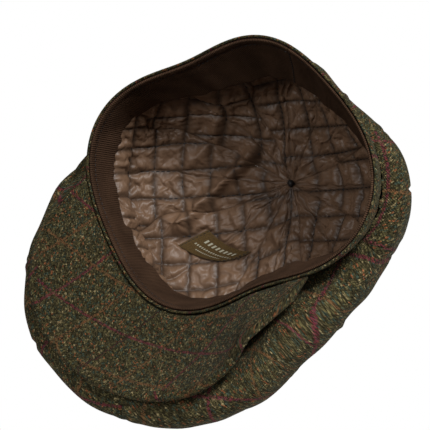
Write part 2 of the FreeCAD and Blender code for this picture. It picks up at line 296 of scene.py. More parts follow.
@dataclass(frozen=True)
class PeakForm:
    """The stiffened peak's underside and the way out of it."""

    reach: float = 66.5
    spread: tuple[float, float, float] = (112.0, 3.0, 1.2)
    half_width: float = 109.0
    edge_rise: float = 10.0
    rise_half: float = 75.0
    droop: float = 0.77
    arch: float = 2.5
    seam_out: float = 2.9
    seam_z: float = 1.0
    thickness: float = 5.8

    def edge(self, angle: Array) -> tuple[Array, Array, Array]:
        """Distance out, height and reach of the edge, its droop ending on what the cap rests on."""
        distance = HEAD.from_front(angle)
        reach = self.reach * bulge(distance, *self.spread)
        rise = self.edge_rise * bulge(distance, self.rise_half, 2.0, 2.0)
        y, outward_y = HEAD.rim(angle)[:, 1], HEAD.outward(angle)[:, 1]
        out = 0.7 * reach
        droop = self.droop * reach
        for _ in range(4):
            rest = (HEAD.back_y - y - out * outward_y) * math.tan(HEAD.tilt) - rise
            droop = np.minimum(self.droop * reach, rest)
            out = np.sqrt(reach**2 - droop**2)
        return out, -droop, reach

    def at(self, angle: Array, share: Array) -> Array:
        """(N, 3) points of the underside from the seam (0) to the edge (1)."""
        out, drop, reach = self.edge(angle)
        arch = self.arch * (reach / self.reach) * 4.0 * share * (1.0 - share)
        height = self.seam_z + (drop - self.seam_z) * share + arch
        return HEAD.place(angle, 1.0, self.seam_out + out * share + arch * 0.5, height)

    def frame(self, angle: Array, share: Array) -> tuple[Array, Array]:
        """Unit directions out along the peak and up through it."""
        step = 0.01
        along = self.at(angle, share + step) - self.at(angle, share - step)
        across = self.at(angle + step, share) - self.at(angle - step, share)
        up = np.cross(across, along)
        unit = [v / np.maximum(np.linalg.norm(v, axis=1, keepdims=True), 1e-9) for v in (along, up)]
        return unit[0], unit[1]

    def layer(self, angle: Array, share: Array, beyond: Array, height: Array) -> Array:
        """(N, 3) points a distance beyond a share of the peak and a height over its underside.

        Heights shrink towards the peak's two tips, where its layers are sewn flat together.
        """
        along, up = self.frame(angle, share)
        reach = self.edge(angle)[2]
        full = np.clip(reach / 16.0, 0.12, 1.0)
        return self.at(angle, share) + along * (beyond * full)[:, None] + up * (height * full)[:, None]

    def cut(self, angle: Array, share: Array, beyond: Union[Array, float] = 0.0) -> Array:
        flat = HEAD.rim(angle) + HEAD.outward(angle) * (self.edge(angle)[2] * share + beyond)[:, None]
        across = flat[:, 0] + 0.3 * (flat[:, 1] + 84.0) * np.clip((flat[:, 0] + 48.0) / 110.0, 0.0, 1.2)
        across = across * 1.13 + 3.0 * np.sign(across - 4.0) - 5.0
        along = flat[:, 1] - 0.0019 * np.maximum(60.0 - flat[:, 0], 0.0) ** 2
        return np.column_stack([across, (along + 131.0) * 0.93])


PEAK = PeakForm()


# ------------------------------------------------------------------ meshes


@dataclass
class Sheet:
    """A sheet of cloth over a surface.

    Args:
        name: the piece's name.
        columns, rows: how many cells it has across and along.
        surface: gives (N, 3) points in mm, in the rim frame, for shares across and along.
        cut: gives (N, 2) places on the flat cloth in mm for the same shares.
        thickness: of the cloth in mm, added on the side that faces away from outward.
        crowd: how much columns crowd towards both side edges, 0 to 1.
        crowd_rows: the same for the rows.
        smooth: how many times it is subdivided.
        turned: whether its outer side faces the other way.
    """

    name: str
    columns: int
    rows: int
    surface: Surface
    cut: Surface
    thickness: float = 1.0
    crowd: float = 0.0
    crowd_rows: float = 0.0
    smooth: int = 0
    turned: bool = False
    shares: tuple = field(default=(), repr=False)

    def build(self) -> bpy.types.Object:
        """Make the piece's object, with its cloth map."""
        grid = bmesh.new()
        bmesh.ops.create_grid(grid, x_segments=self.columns, y_segments=self.rows, size=0.5)
        mesh = bpy.data.meshes.new(self.name)
        grid.to_mesh(mesh)
        grid.free()
        points = np.empty(len(mesh.vertices) * 3)
        mesh.vertices.foreach_get("co", points)
        across, along = (points.reshape(-1, 3)[:, i] + 0.5 for i in (0, 1))
        across = across - self.crowd * np.sin(2 * math.pi * across) / (2 * math.pi)
        along = along - self.crowd_rows * np.sin(2 * math.pi * along) / (2 * math.pi)
        self.shares = (across, along)
        mesh.vertices.foreach_set("co", HEAD.at_rest(self.surface(across, along)).ravel())
        if self.turned:
            mesh.flip_normals()
        loops = np.empty(len(mesh.loops), int)
        mesh.loops.foreach_get("vertex_index", loops)
        flat = self.cut(across, along) * MM
        layer = mesh.uv_layers.new(name="cloth")
        layer.data.foreach_set("uv", flat[loops].ravel())
        mesh.shade_smooth()
        mesh.update()
        return link(self.name, mesh)

    def finish(self, piece: bpy.types.Object) -> bpy.types.Object:
        """Give the cloth its thickness, and round it if it is smoothed."""
        if self.thickness:
            wall = piece.modifiers.new("thickness", "SOLIDIFY")
            wall.thickness = self.thickness * MM
            wall.offset = -1.0
        if self.smooth:
            rounded = piece.modifiers.new("rounded", "SUBSURF")
            rounded.levels = rounded.render_levels = self.smooth
        return piece


def link(name: str, mesh: bpy.types.Mesh) -> bpy.types.Object:
    """An object for a mesh, in the scene."""
    piece = bpy.data.objects.new(name, mesh)
    bpy.context.scene.collection.objects.link(piece)
    return piece


def dress(
    piece: bpy.types.Object, finish: bpy.types.Material, replaced: Sequence[str] = ()
) -> bpy.types.Object:
    """Dress a piece, hide the CAD nodes that it stands for, and bake its transform.

    Args:
        piece: the finished mesh, with no parent.
        finish: its material.
        replaced: the CAD nodes that it stands for.

    Returns:
        The piece.
    """
    piece.data.materials.clear()
    piece.data.materials.append(finish)
    if replaced:
        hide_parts(*replaced)
    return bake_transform(piece)


@dataclass(frozen=True)
class Thread:
    """Sewing thread, laid as short rounded stitches."""

    length: float = 2.8
    radius: float = 0.3
    pitch: float = 4.0

    def template(self) -> tuple[Array, Array]:
        """One stitch along X at the origin: its points, and its faces as four corners each."""
        one = bmesh.new()
        bmesh.ops.create_cube(one, size=1.0)
        lengthwise = [edge for edge in one.edges if abs((edge.verts[0].co - edge.verts[1].co).x) > 0.5]
        bmesh.ops.subdivide_edges(one, edges=lengthwise, cuts=2)
        points = []
        for vertex in one.verts:
            end = 0.55 if abs(vertex.co.x) > 0.4 else 1.0
            reach = 0.5 if abs(vertex.co.x) > 0.4 else 0.34
            points.append((math.copysign(reach, vertex.co.x) * self.length,
                           vertex.co.y * 1.6 * self.radius * end, vertex.co.z * 1.6 * self.radius * end))
        faces = [[v.index for v in face.verts] for face in one.faces]
        one.free()
        return np.array(points), np.array(faces)

    def sew(self, name: str, places: Array, ways: Array, normals: Array) -> bpy.types.Object:
        """All of a seam's stitches as one piece.

        Args:
            name: the piece's name.
            places: (N, 3) middles of the stitches, in mm.
            ways: (N, 3) directions that they lie in.
            normals: (N, 3) directions out of the cloth below them.

        Returns:
            The piece, not yet dressed.
        """
        points, faces = self.template()
        ways = ways / np.maximum(np.linalg.norm(ways, axis=1, keepdims=True), 1e-9)
        sides = np.cross(normals, ways)
        sides /= np.maximum(np.linalg.norm(sides, axis=1, keepdims=True), 1e-9)
        ups = np.cross(ways, sides)
        axes = np.stack([ways, sides, ups], axis=1)
        all_points = (np.einsum("kc,nca->nka", points, axes) + places[:, None]).reshape(-1, 3)
        first = np.arange(len(places)) * len(points)
        all_faces = (faces[None] + first[:, None, None]).reshape(-1, faces.shape[1])
        mesh = bpy.data.meshes.new(name)
        mesh.from_pydata(HEAD.at_rest(all_points).tolist(), [], all_faces.tolist())
        shell = bmesh.new()
        shell.from_mesh(mesh)
        bmesh.ops.recalc_face_normals(shell, faces=shell.faces)
        shell.to_mesh(mesh)
        shell.free()
        mesh.shade_smooth()
        piece = link(name, mesh)
        rounded = piece.modifiers.new("rounded", "SUBSURF")
        rounded.levels = rounded.render_levels = 1
        return piece

    def along(self, line: Array) -> tuple[Array, Array]:
        """Even stitch places down a line of (N, 3) points, and the way each one lies."""
        steps = np.linalg.norm(np.diff(line, axis=0), axis=1)
        length = np.concatenate([[0.0], np.cumsum(steps)])
        at = np.arange(self.pitch / 2, length[-1], self.pitch)
        here = np.stack([np.interp(at, length, line[:, i]) for i in range(3)], axis=1)
        ahead = np.stack([np.interp(at + 0.5, length, line[:, i]) for i in range(3)], axis=1)
        behind = np.stack([np.interp(at - 0.5, length, line[:, i]) for i in range(3)], axis=1)
        return here, ahead - behind


def puff(piece: bpy.types.Object, pinned: Array, pressure: float = 4.0, shrink: float = 0.1) -> None:
    """Blow a sheet up a little between its pinned stitch lines, so that it creases as quilted cloth does.

    The simulation runs at ten times the size, where the solver's own limits don't show. No point moves more
    than 6 mm, or sinks more than half a millimetre towards the wadding.

    Args:
        piece: the sheet, before it gets its thickness.
        pinned: (V,) which of its vertices are stitched down.
        pressure: how hard it is blown up.
        shrink: how much larger than its place the cloth is cut.
    """
    mesh, scene, size = piece.data, bpy.context.scene, 10.0
    rest = np.empty(len(mesh.vertices) * 3)
    mesh.vertices.foreach_get("co", rest)
    rng = np.random.default_rng(SEED)
    start = rest.reshape(-1, 3) + rng.normal(0, 1e-4, (len(mesh.vertices), 3)) * ~pinned[:, None]
    mesh.vertices.foreach_set("co", (start * size).ravel())
    mesh.update()
    group = piece.vertex_groups.new(name="stitched down")
    group.add(np.flatnonzero(pinned).tolist(), 1.0, "REPLACE")
    cloth = piece.modifiers.new("cloth", "CLOTH")
    cloth.settings.quality = 5
    cloth.settings.mass = 0.02
    cloth.settings.use_pressure = True
    cloth.settings.uniform_pressure_force = pressure
    cloth.settings.bending_stiffness = 0.5
    cloth.settings.shrink_min = -shrink
    cloth.settings.vertex_group_mass = group.name
    cloth.settings.effector_weights.gravity = 0.0
    cloth.collision_settings.use_collision = False
    cloth.point_cache.frame_start, cloth.point_cache.frame_end = 1, 22
    for step in range(1, 23):
        scene.frame_set(step)
    shaped = piece.evaluated_get(bpy.context.evaluated_depsgraph_get())
    points = np.empty(len(mesh.vertices) * 3)
    shaped.data.vertices.foreach_get("co", points)
    piece.modifiers.remove(cloth)
    piece.vertex_groups.remove(group)
    moved = points.reshape(-1, 3) / size - rest.reshape(-1, 3)
    far = np.linalg.norm(moved, axis=1, keepdims=True)
    moved *= np.minimum(1.0, 0.006 / np.maximum(far, 1e-9))
    outward = np.empty(len(mesh.vertices) * 3)
    mesh.vertices.foreach_set("co", rest)
    mesh.update()
    mesh.vertex_normals.foreach_get("vector", outward)
    outward = outward.reshape(-1, 3)
    sunk = np.minimum((moved * outward).sum(axis=1) + 0.0005, 0.0)
    moved -= outward * sunk[:, None]
    mesh.vertices.foreach_set("co", (rest.reshape(-1, 3) + moved).ravel())
    mesh.update()
    scene.frame_set(1)


# ------------------------------------------------------------------ finishes


class Graph:
    """Builds a node tree from small expressions."""

    def __init__(self, tree: bpy.types.NodeTree) -> None:
        self.tree = tree

    def node(self, kind: str, inputs: Optional[dict] = None, **settings) -> bpy.types.Node:
        """A node with its settings, and its inputs as links or constants."""
        made = self.tree.nodes.new(kind)
        for name, value in settings.items():
            setattr(made, name, value)
        for name, value in (inputs or {}).items():
            self.join(made.inputs[name], value)
        return made

    def join(self, socket: bpy.types.NodeSocket, value: Socket) -> None:
        """Link a socket to another, or set its constant."""
        if isinstance(value, bpy.types.NodeSocket):
            self.tree.links.new(value, socket)
        else:
            socket.default_value = value

    def math(self, kind: str, *values: Socket, clamp: bool = False) -> bpy.types.NodeSocket:
        """Arithmetic on values."""
        made = self.node("ShaderNodeMath", dict(enumerate(values)), operation=kind, use_clamp=clamp)
        return made.outputs[0]

    def mix(self, share: Socket, first: Socket, second: Socket, kind: str = "MIX") -> bpy.types.NodeSocket:
        """Mix two colours."""
        made = self.node("ShaderNodeMix", data_type="RGBA", blend_type=kind)
        for index, value in ((0, share), (6, first), (7, second)):
            self.join(made.inputs[index], value)
        return made.outputs[2]

    def ramp(self, value: Socket, stops: Sequence[tuple], steps: bool = False) -> bpy.types.NodeSocket:
        """Colour by value, from (place, colour) stops."""
        made = self.node("ShaderNodeValToRGB", {"Fac": value})
        made.color_ramp.interpolation = "CONSTANT" if steps else "LINEAR"
        elements = made.color_ramp.elements
        while len(elements) < len(stops):
            elements.new(0.5)
        for element, (place, colour) in zip(elements, stops):
            element.position = place
            element.color = (*colour, 1.0)
        return made.outputs["Color"]

    def stretched(self, vector: Socket, turn: float, scale: tuple) -> bpy.types.NodeSocket:
        """Coordinates turned in the cloth's plane, then scaled."""
        turned = self.node("ShaderNodeMapping", {"Vector": vector, "Rotation": (0.0, 0.0, turn)})
        return self.node("ShaderNodeMapping", {"Vector": turned.outputs[0], "Scale": scale}).outputs[0]

    def noise(self, vector: Socket, scale: float, detail: float = 2.0) -> bpy.types.NodeSocket:
        """Soft noise from 0 to 1."""
        made = self.node("ShaderNodeTexNoise", {"Vector": vector, "Scale": scale, "Detail": detail})
        return made.outputs["Fac"]

    def cells(self, vector: Socket, scale: float) -> bpy.types.NodeSocket:
        """A chance value for each small cell."""
        cell = self.node("ShaderNodeTexVoronoi", {"Vector": vector, "Scale": scale})
        return self.node("ShaderNodeSeparateColor", {"Color": cell.outputs["Color"]}).outputs[0]


def shades(colour: tuple, *stops: tuple[float, float]) -> list[tuple[float, tuple]]:
    """A ramp's stops: one colour, darker or lighter at each place."""
    return [(place, tuple(channel * strength for channel in colour)) for place, strength in stops]


def new_group(name: str, outputs: Sequence[tuple[str, str]]) -> tuple[bpy.types.NodeTree, Graph, Socket]:
    """Start a shared effect with one vector socket in.

    Args:
        name: the effect's name.
        outputs: (name, socket type) of each result.

    Returns:
        The group, its graph, and the cloth coordinates in mm.
    """
    tree = bpy.data.node_groups.new(name, "ShaderNodeTree")
    tree.interface.new_socket("Cloth", in_out="INPUT", socket_type="NodeSocketVector")
    for socket, kind in outputs:
        tree.interface.new_socket(socket, in_out="OUTPUT", socket_type=kind)
    graph = Graph(tree)
    entry = graph.node("NodeGroupInput")
    scaled = graph.node("ShaderNodeVectorMath", {0: entry.outputs[0], 1: (1000.0,) * 3}, operation="MULTIPLY")
    return tree, graph, scaled.outputs[0]


def close_group(graph: Graph, results: dict[str, Socket]) -> None:
    """Send a shared effect's results out."""
    leave = graph.node("NodeGroupOutput")
    for name, value in results.items():
        graph.join(leave.inputs[name], value)


@dataclass(frozen=True)
class Check:
    """The tweed's overcheck: lines of two colours by turns, both ways over the cloth."""

    repeat: float = 62.0
    width: float = 1.15
    wine: tuple = (0.135, 0.018, 0.036)
    rust: tuple = (0.165, 0.075, 0.032)

    def lines(self, graph: Graph, along: Socket, start: float, wobble: Socket) -> Socket:
        """Mask of the lines that start at a place and repeat."""
        moved = graph.math("ADD", along, wobble)
        away = graph.math("PINGPONG", graph.math("SUBTRACT", moved, start), self.repeat / 2)
        return graph.math("SUBTRACT", 1.0, graph.math("DIVIDE", away, self.width), clamp=True)


@dataclass(frozen=True)
class Tweed:
    """Rough twill tweed with flecks of many colours and an overcheck."""

    check: Check = Check()
    dark: tuple = (0.026, 0.022, 0.010)
    olive: tuple = (0.052, 0.043, 0.020)
    moss: tuple = (0.085, 0.072, 0.030)
    teal: tuple = (0.034, 0.050, 0.036)
    tan: tuple = (0.190, 0.150, 0.075)
    rust: tuple = (0.185, 0.068, 0.028)

    def group(self) -> bpy.types.NodeTree:
        """The weave as a shared effect."""
        results = [("Color", "NodeSocketColor"), ("Height", "NodeSocketFloat")]
        tree, g, cloth = new_group("tweed weave", results)
        split = g.node("ShaderNodeSeparateXYZ", {"Vector": cloth})
        x, y = split.outputs[0], split.outputs[1]
        drift = g.noise(cloth, 0.05, 3.0)
        slant = g.math("ADD", g.math("ADD", x, y), g.math("MULTIPLY", drift, 9.0))
        rib = g.math("SINE", g.math("MULTIPLY", slant, 3.6))
        fleck = g.cells(g.stretched(cloth, math.radians(-45), (0.5, 1.0, 1.0)), 1.25)
        fine = g.cells(g.stretched(cloth, math.radians(-40), (0.6, 1.0, 1.0)), 2.0)
        base = g.ramp(fleck, ((0.0, self.dark), (0.24, self.olive), (0.48, self.teal), (0.62, self.moss),
                              (0.82, self.olive), (0.89, self.tan), (0.95, self.rust)), steps=True)
        shade = g.ramp(fine, ((0.0, (0.3,) * 3), (0.5, (0.9,) * 3), (1.0, (2.1,) * 3)))
        body = g.mix(1.0, base, shade, "MULTIPLY")
        ground = g.mix(g.math("MULTIPLY", g.math("ADD", rib, 1.0), 0.22), body, (*self.dark, 1.0))
        wobble = g.math("MULTIPLY", g.math("SUBTRACT", g.noise(cloth, 0.9, 1.0), 0.5), 1.2)
        half = self.check.repeat / 2
        wine = g.math("MAXIMUM", self.check.lines(g, x, 0.0, wobble), self.check.lines(g, y, 0.0, wobble))
        rust = g.math("MAXIMUM", self.check.lines(g, x, half, wobble), self.check.lines(g, y, half, wobble))
        broken = g.math("GREATER_THAN", g.math("ADD", g.math("MULTIPLY", rib, 0.12), fine), 0.40)
        for mask, colour in ((wine, self.check.wine), (rust, self.check.rust)):
            sharp = g.math("MULTIPLY", g.math("MULTIPLY", mask, 2.6, clamp=True), broken)
            ground = g.mix(g.math("MULTIPLY", sharp, 0.7), ground, (*colour, 1.0))
        flecks = g.math("ADD", fine, g.math("MULTIPLY", fleck, 0.5))
        height = g.math("ADD", g.math("MULTIPLY", rib, 0.3), flecks)
        close_group(g, {"Color": ground, "Height": height})
        return tree


@dataclass(frozen=True)
class Finish:
    """What every finish has: a name, roughness, sheen, and how high its surface stands."""

    name: str
    roughness: float = 0.9
    sheen: float = 0.0
    specular: float = 0.5
    relief: float = 0.0003
    metallic: float = 0.0

    def surface(self, graph: Graph, cloth: Socket) -> tuple[Socket, Optional[Socket]]:
        """Colour, and height or None."""
        return (0.5, 0.5, 0.5, 1.0), None

    def make(self) -> bpy.types.Material:
        """The material."""
        material = bpy.data.materials.new(self.name)
        material.use_nodes = True
        tree = material.node_tree
        shader = tree.nodes["Principled BSDF"]
        graph = Graph(tree)
        cloth = graph.node("ShaderNodeUVMap", uv_map="cloth").outputs[0]
        colour, height = self.surface(graph, cloth)
        graph.join(shader.inputs["Base Color"], colour)
        shader.inputs["Roughness"].default_value = self.roughness
        shader.inputs["Specular IOR Level"].default_value = self.specular
        shader.inputs["Sheen Weight"].default_value = self.sheen
        shader.inputs["Sheen Roughness"].default_value = 0.5
        shader.inputs["Metallic"].default_value = self.metallic
        if height is not None:
            inputs = {"Height": height, "Distance": self.relief, "Strength": 1.0}
            raised = graph.node("ShaderNodeBump", inputs)
            graph.join(shader.inputs["Normal"], raised.outputs[0])
        return material


@dataclass(frozen=True)
class TweedFinish(Finish):
    """Tweed cloth."""

    tweed: Tweed = Tweed()

    def surface(self, graph: Graph, cloth: Socket) -> tuple[Socket, Optional[Socket]]:
        """The shared weave."""
        tree = bpy.data.node_groups.get("tweed weave") or self.tweed.group()
        weave = graph.node("ShaderNodeGroup", node_tree=tree)
        graph.join(weave.inputs["Cloth"], cloth)
        return weave.outputs["Color"], weave.outputs["Height"]


@dataclass(frozen=True)
class PlainCloth(Finish):
    """Cloth of one colour with ribs."""

    colour: tuple = (0.05, 0.04, 0.03)
    weave: Weave = Weave.TWILL
    pitch: float = 1.0
    contrast: float = 0.35

    def surface(self, graph: Graph, cloth: Socket) -> tuple[Socket, Optional[Socket]]:
        """Ribs, with yarns of uneven shade."""
        split = graph.node("ShaderNodeSeparateXYZ", {"Vector": cloth})
        x = split.outputs[0]
        if self.weave is Weave.TWILL:
            x = graph.math("ADD", x, split.outputs[1])
        wave = graph.math("SINE", graph.math("MULTIPLY", x, 2000.0 * math.pi / self.pitch))
        worn = graph.noise(cloth, 60.0, 3.0)
        yarn = graph.noise(cloth, 1600.0, 1.0)
        level = graph.math("ADD", graph.math("MULTIPLY", wave, 0.3), graph.math("ADD", worn, yarn))
        stops = shades(self.colour, (0.2, 1 - self.contrast), (0.8, 1 + self.contrast))
        tint = graph.ramp(graph.math("MULTIPLY", level, 0.5), stops)
        return tint, graph.math("ADD", graph.math("MULTIPLY", wave, 0.5), yarn)


@dataclass(frozen=True)
class SatinFinish(Finish):
    """Lining satin, with fine creases."""

    colour: tuple = (0.180, 0.106, 0.063)

    def surface(self, graph: Graph, cloth: Socket) -> tuple[Socket, Optional[Socket]]:
        """Uneven satin, with painted shade darkening the quilting's furrows."""
        drift = graph.noise(cloth, 35.0, 3.0)
        tint = graph.ramp(drift, shades(self.colour, (0.25, 0.82), (0.75, 1.15)))
        # Painted shade: the per-point attribute darkens the satin towards near-black in the quilting's furrows and
        # along the gore seams, where shadow falls.
        furrow_shade_mask = graph.node("ShaderNodeAttribute", attribute_name="painted_furrow_shade").outputs["Fac"]
        tint = graph.mix(graph.math("MULTIPLY", furrow_shade_mask, 0.7), tint, (0.012, 0.007, 0.005, 1.0))
        crease = graph.noise(graph.stretched(cloth, 0.6, (0.6, 1.0, 1.0)), 260.0, 2.0)
        return tint, crease


@dataclass(frozen=True)
class LabelFinish(Finish):
    """A woven label: a plain border and three rows of pale marks that spell nothing."""

    ground: tuple = (0.115, 0.066, 0.016)
    mark: tuple = (0.60, 0.58, 0.44)

    def surface(self, graph: Graph, cloth: Socket) -> tuple[Socket, Optional[Socket]]:
        """Ground weave and marks, which stand up a little."""
        g = graph
        split = g.node("ShaderNodeSeparateXYZ", {"Vector": cloth})
        x, y = (g.math("MULTIPLY", split.outputs[i], 1000.0) for i in (0, 1))
        wave = g.math("MULTIPLY", *(g.math("SINE", g.math("MULTIPLY", way, 9.0)) for way in (x, y)))
        marks: Socket = 0.0
        for row, half, reach, gap in ((4.2, 1.5, 11.5, 2.9), (-1.2, 0.7, 13.0, 1.7), (-5.0, 0.5, 9.0, 1.3)):
            inside = g.math("LESS_THAN", g.math("ABSOLUTE", g.math("SUBTRACT", y, row)), half)
            inside = g.math("MULTIPLY", inside, g.math("LESS_THAN", g.math("ABSOLUTE", x), reach))
            stem = g.math("LESS_THAN", g.math("PINGPONG", g.math("ADD", x, row), gap / 2), gap * 0.24)
            marks = g.math("MAXIMUM", marks, g.math("MULTIPLY", inside, stem))
        yarn = g.noise(cloth, 1500.0, 1.0)
        ground = g.ramp(yarn, shades(self.ground, (0.3, 0.6), (0.7, 1.3)))
        return g.mix(g.math("MULTIPLY", marks, 0.95), ground, (*self.mark, 1.0)), g.math("ADD", wave, marks)


@dataclass(frozen=True)
class PlainFinish(Finish):
    """One even colour."""

    colour: tuple = (0.1, 0.1, 0.1)

    def surface(self, graph: Graph, cloth: Socket) -> tuple[Socket, Optional[Socket]]:
        """The colour alone."""
        return (*self.colour, 1.0), None


class Wardrobe:
    """Every finish of the cap, made once."""

    def __init__(self) -> None:
        self.tweed = TweedFinish("tweed", roughness=0.95, sheen=0.02, specular=0.05, relief=0.0005).make()
        self.satin = SatinFinish("lining satin", roughness=0.48, specular=0.42, relief=0.0005).make()
        self.twill = PlainCloth("sweatband twill", colour=(0.058, 0.032, 0.019), weave=Weave.RIBBED, pitch=1.25,
                                roughness=0.85, specular=0.06, relief=0.0004, contrast=0.75).make()
        self.interlining = PlainCloth("interlining", colour=(0.4, 0.38, 0.33), pitch=0.8).make()
        self.wadding = PlainCloth("wadding", colour=(0.72, 0.7, 0.66), pitch=2.0, contrast=0.08).make()
        self.label = LabelFinish("label weave", roughness=0.6, relief=0.0002).make()
        self.thread = PlainFinish("dark thread", colour=(0.006, 0.004, 0.004), roughness=0.5).make()
        self.board = PlainFinish("peak board", colour=(0.5, 0.47, 0.4), roughness=0.8).make()
        self.shell = PlainFinish("button shell", colour=(0.05, 0.05, 0.05), roughness=0.5).make()
        self.metal = PlainFinish("stud metal", colour=(0.55, 0.42, 0.22), roughness=0.35, metallic=1.0).make()


# ------------------------------------------------------------------ sub-assemblies


class Part:
    """A sub-assembly: it makes its pieces and dresses them from the wardrobe."""

    def __init__(self, wardrobe: Wardrobe) -> None:
        self.wardrobe = wardrobe


@dataclass(frozen=True)
class GoreShape:
    """One gore of a dome.

    Args:
        form: the dome.
        number: which gore, counted from the back.
        gap: width of the hairline at each seam, in mm.
        wander: how far the seams wander, in radians.
    """

    form: DomeForm
    number: int
    gap: float = 0.2
    wander: float = 0.0

    @property
    def middle(self) -> float:
        """The angle of the gore's centre line."""
        return (self.number + 0.5) * GORE_ANGLE

    def angle(self, across: Array, along: Array) -> Array:
        """Angles for shares across, leaving a hairline gap at both seams."""
        radius = np.linalg.norm(self.form.at(np.full_like(along, self.middle), along)[:, :2], axis=1)
        margin = np.minimum(self.gap / 2 / np.maximum(radius, 1e-3), GORE_ANGLE * 0.2)
        first, second = self.seam(self.number, along) + margin, self.seam(self.number + 1, along) - margin
        return first + (second - first) * across

    def seam(self, number: int, along: Array) -> Array:
        """The angle of one seam, which wanders a little where the cloth is slack."""
        turn = 2.4 * (number % GORES)
        wave = np.sin(7.0 * along + turn) + 0.5 * np.sin(15.0 * along + 2 * turn)
        return number * GORE_ANGLE + self.wander * wave * np.sin(math.pi * along)

    def flat(self, across: Array, along: Array) -> Array:
        """(N, 2) places on the gore's flat cloth: across from its centre line, and up from its seam."""
        shares = np.linspace(0.0, 1.0, 121)
        spine = self.form.at(np.full_like(shares, self.middle), shares)
        length = np.concatenate([[0.0], np.cumsum(np.linalg.norm(np.diff(spine, axis=0), axis=1))])
        sides = [self.form.at(np.full_like(shares, (self.number + s) * GORE_ANGLE), shares) for s in (0, 1)]
        width = np.linalg.norm(sides[0] - sides[1], axis=1) * 1.02
        beside = (across - 0.5) * np.interp(along, shares, width)
        return np.column_stack([beside, np.interp(along, shares, length)])

    def draped(self, across: Array, along: Array) -> Array:
        """(N, 2) places on the gore's cloth, each line up the dome with its own length."""
        shares = np.linspace(0.0, 1.0, 121)
        table = []
        for column in np.linspace(0.0, 1.0, 9):
            line = self.form.at(np.full_like(shares, (self.number + column) * GORE_ANGLE), shares)
            length = np.concatenate([[0.0], np.cumsum(np.linalg.norm(np.diff(line, axis=0), axis=1))])
            table.append(np.interp(along, shares, length))
        place = np.clip(across, 0.0, 1.0) * 8
        index, row = np.minimum(place.astype(int), 7), np.arange(len(across))
        part, lengths = place - index, np.array(table)
        up = lengths[index, row] * (1 - part) + lengths[index + 1, row] * part
        return np.column_stack([self.flat(across, along)[:, 0], up])

    def flat_size(self) -> tuple[float, float, float]:
        """The flat gore's width, length and area, in metres."""
        shares = np.linspace(0.0, 1.0, 60)
        left, right = (self.flat(np.full_like(shares, s), shares) for s in (0.0, 1.0))
        width = right[:, 0] - left[:, 0]
        area = float(np.sum(np.diff(left[:, 1]) * (width[1:] + width[:-1]) / 2))
        return float(width.max()) * MM, float(left[:, 1].max()) * MM, area * MM * MM


@dataclass(frozen=True)
class Grain:
    """How the check lies on one gore: its turn in degrees and where its first lines are."""

    turn: float
    across: float
    along: float

    def apply(self, flat: Array) -> Array:
        """Places on the cloth for places on the gore."""
        angle = math.radians(self.turn)
        cosine, sine = math.cos(angle), math.sin(angle)
        x, y = flat[:, 0] - self.across, flat[:, 1] - self.along
        return np.column_stack([x * cosine + y * sine, y * cosine - x * sine])


class Crown(Part):
    """Eight full gores of tweed, gathered into the headband."""

    THICKNESS = 1.3
    SEAM_DEPTH = 0.45
    SLOUCHES = ((math.radians(246), 0.50, 8.5), (math.radians(334), 0.40, -2.0))
    GRAINS = (Grain(8, 12, 20), Grain(-10, -8, 34), Grain(6, 18, 5), Grain(-14, -4, 40), Grain(16, 9, 22),
              Grain(34, 18.6, 0), Grain(3, -33, 2), Grain(-9, -12, 15))

    def slouch(self, angle: Array, along: Array) -> Array:
        """How far the soft crown sags out of round."""
        away = np.zeros_like(angle)
        for place, width, size in self.SLOUCHES:
            away = away + size * bump(2 * np.sin((angle - place) / 2), width)
        return away * np.clip((along - 0.05) / 0.2, 0.0, 1.0) * np.clip((0.85 - along) / 0.3, 0.0, 1.0)

    def relief(self, points: Array, angle: Array, across: Array, along: Array, flat: Array) -> Array:
        """How far the cloth stands off the smooth dome: seams, slack, and puckers by the headband."""
        edge = np.maximum(np.abs(flat[:, 0]) / np.maximum(np.abs(across - 0.5), 0.02), 1.0)
        seam = np.minimum(across, 1 - across) * edge
        height = -self.SEAM_DEPTH * bump(seam, 1.1) + 0.3 * bump(seam - 3.6, 1.9)
        slack = np.clip(along * 7.0, 0.0, 1.0) * np.clip(seam / 9.0, 0.25, 1.0)
        for ripple in (Ripple(SEED, 62.0, 1.5), Ripple(SEED + 1, 27.0, 0.45)):
            height = height + ripple.at(points) * slack
        rim = angle * 93.0
        gathers = np.sin(rim / 2.6 + 2.2 * np.sin(rim / 19.0)) * bump(along * 160.0 - 2.0, 9.0)
        return height + 0.55 * gathers * np.clip(along * 80.0, 0.0, 1.0) + self.slouch(angle, along)

    def gore(self, number: int) -> bpy.types.Object:
        """One gore, its seams drawn in."""
        shape = GoreShape(CROWN, number, 0.12)

        def surface(across: Array, along: Array) -> Array:
            angle = shape.angle(across, along)
            base = CROWN.at(angle, along)
            flat = shape.flat(across, along)
            lift = self.relief(base, angle, across, along, flat)
            return base + CROWN.outward(angle, along) * lift[:, None]

        def cut(across: Array, along: Array) -> Array:
            return self.GRAINS[number].apply(shape.draped(across, along))

        sheet = Sheet(f"crown_gore_{number + 1}_cloth", 52, 150, surface, cut, self.THICKNESS, crowd=0.55)
        piece = sheet.finish(sheet.build())
        dress(piece, self.wardrobe.tweed, [f"crown_gore_{number + 1}"])
        width, length, area = shape.flat_size()
        return piece

    def build(self) -> None:
        """All gores."""
        for number in range(GORES):
            self.gore(number)


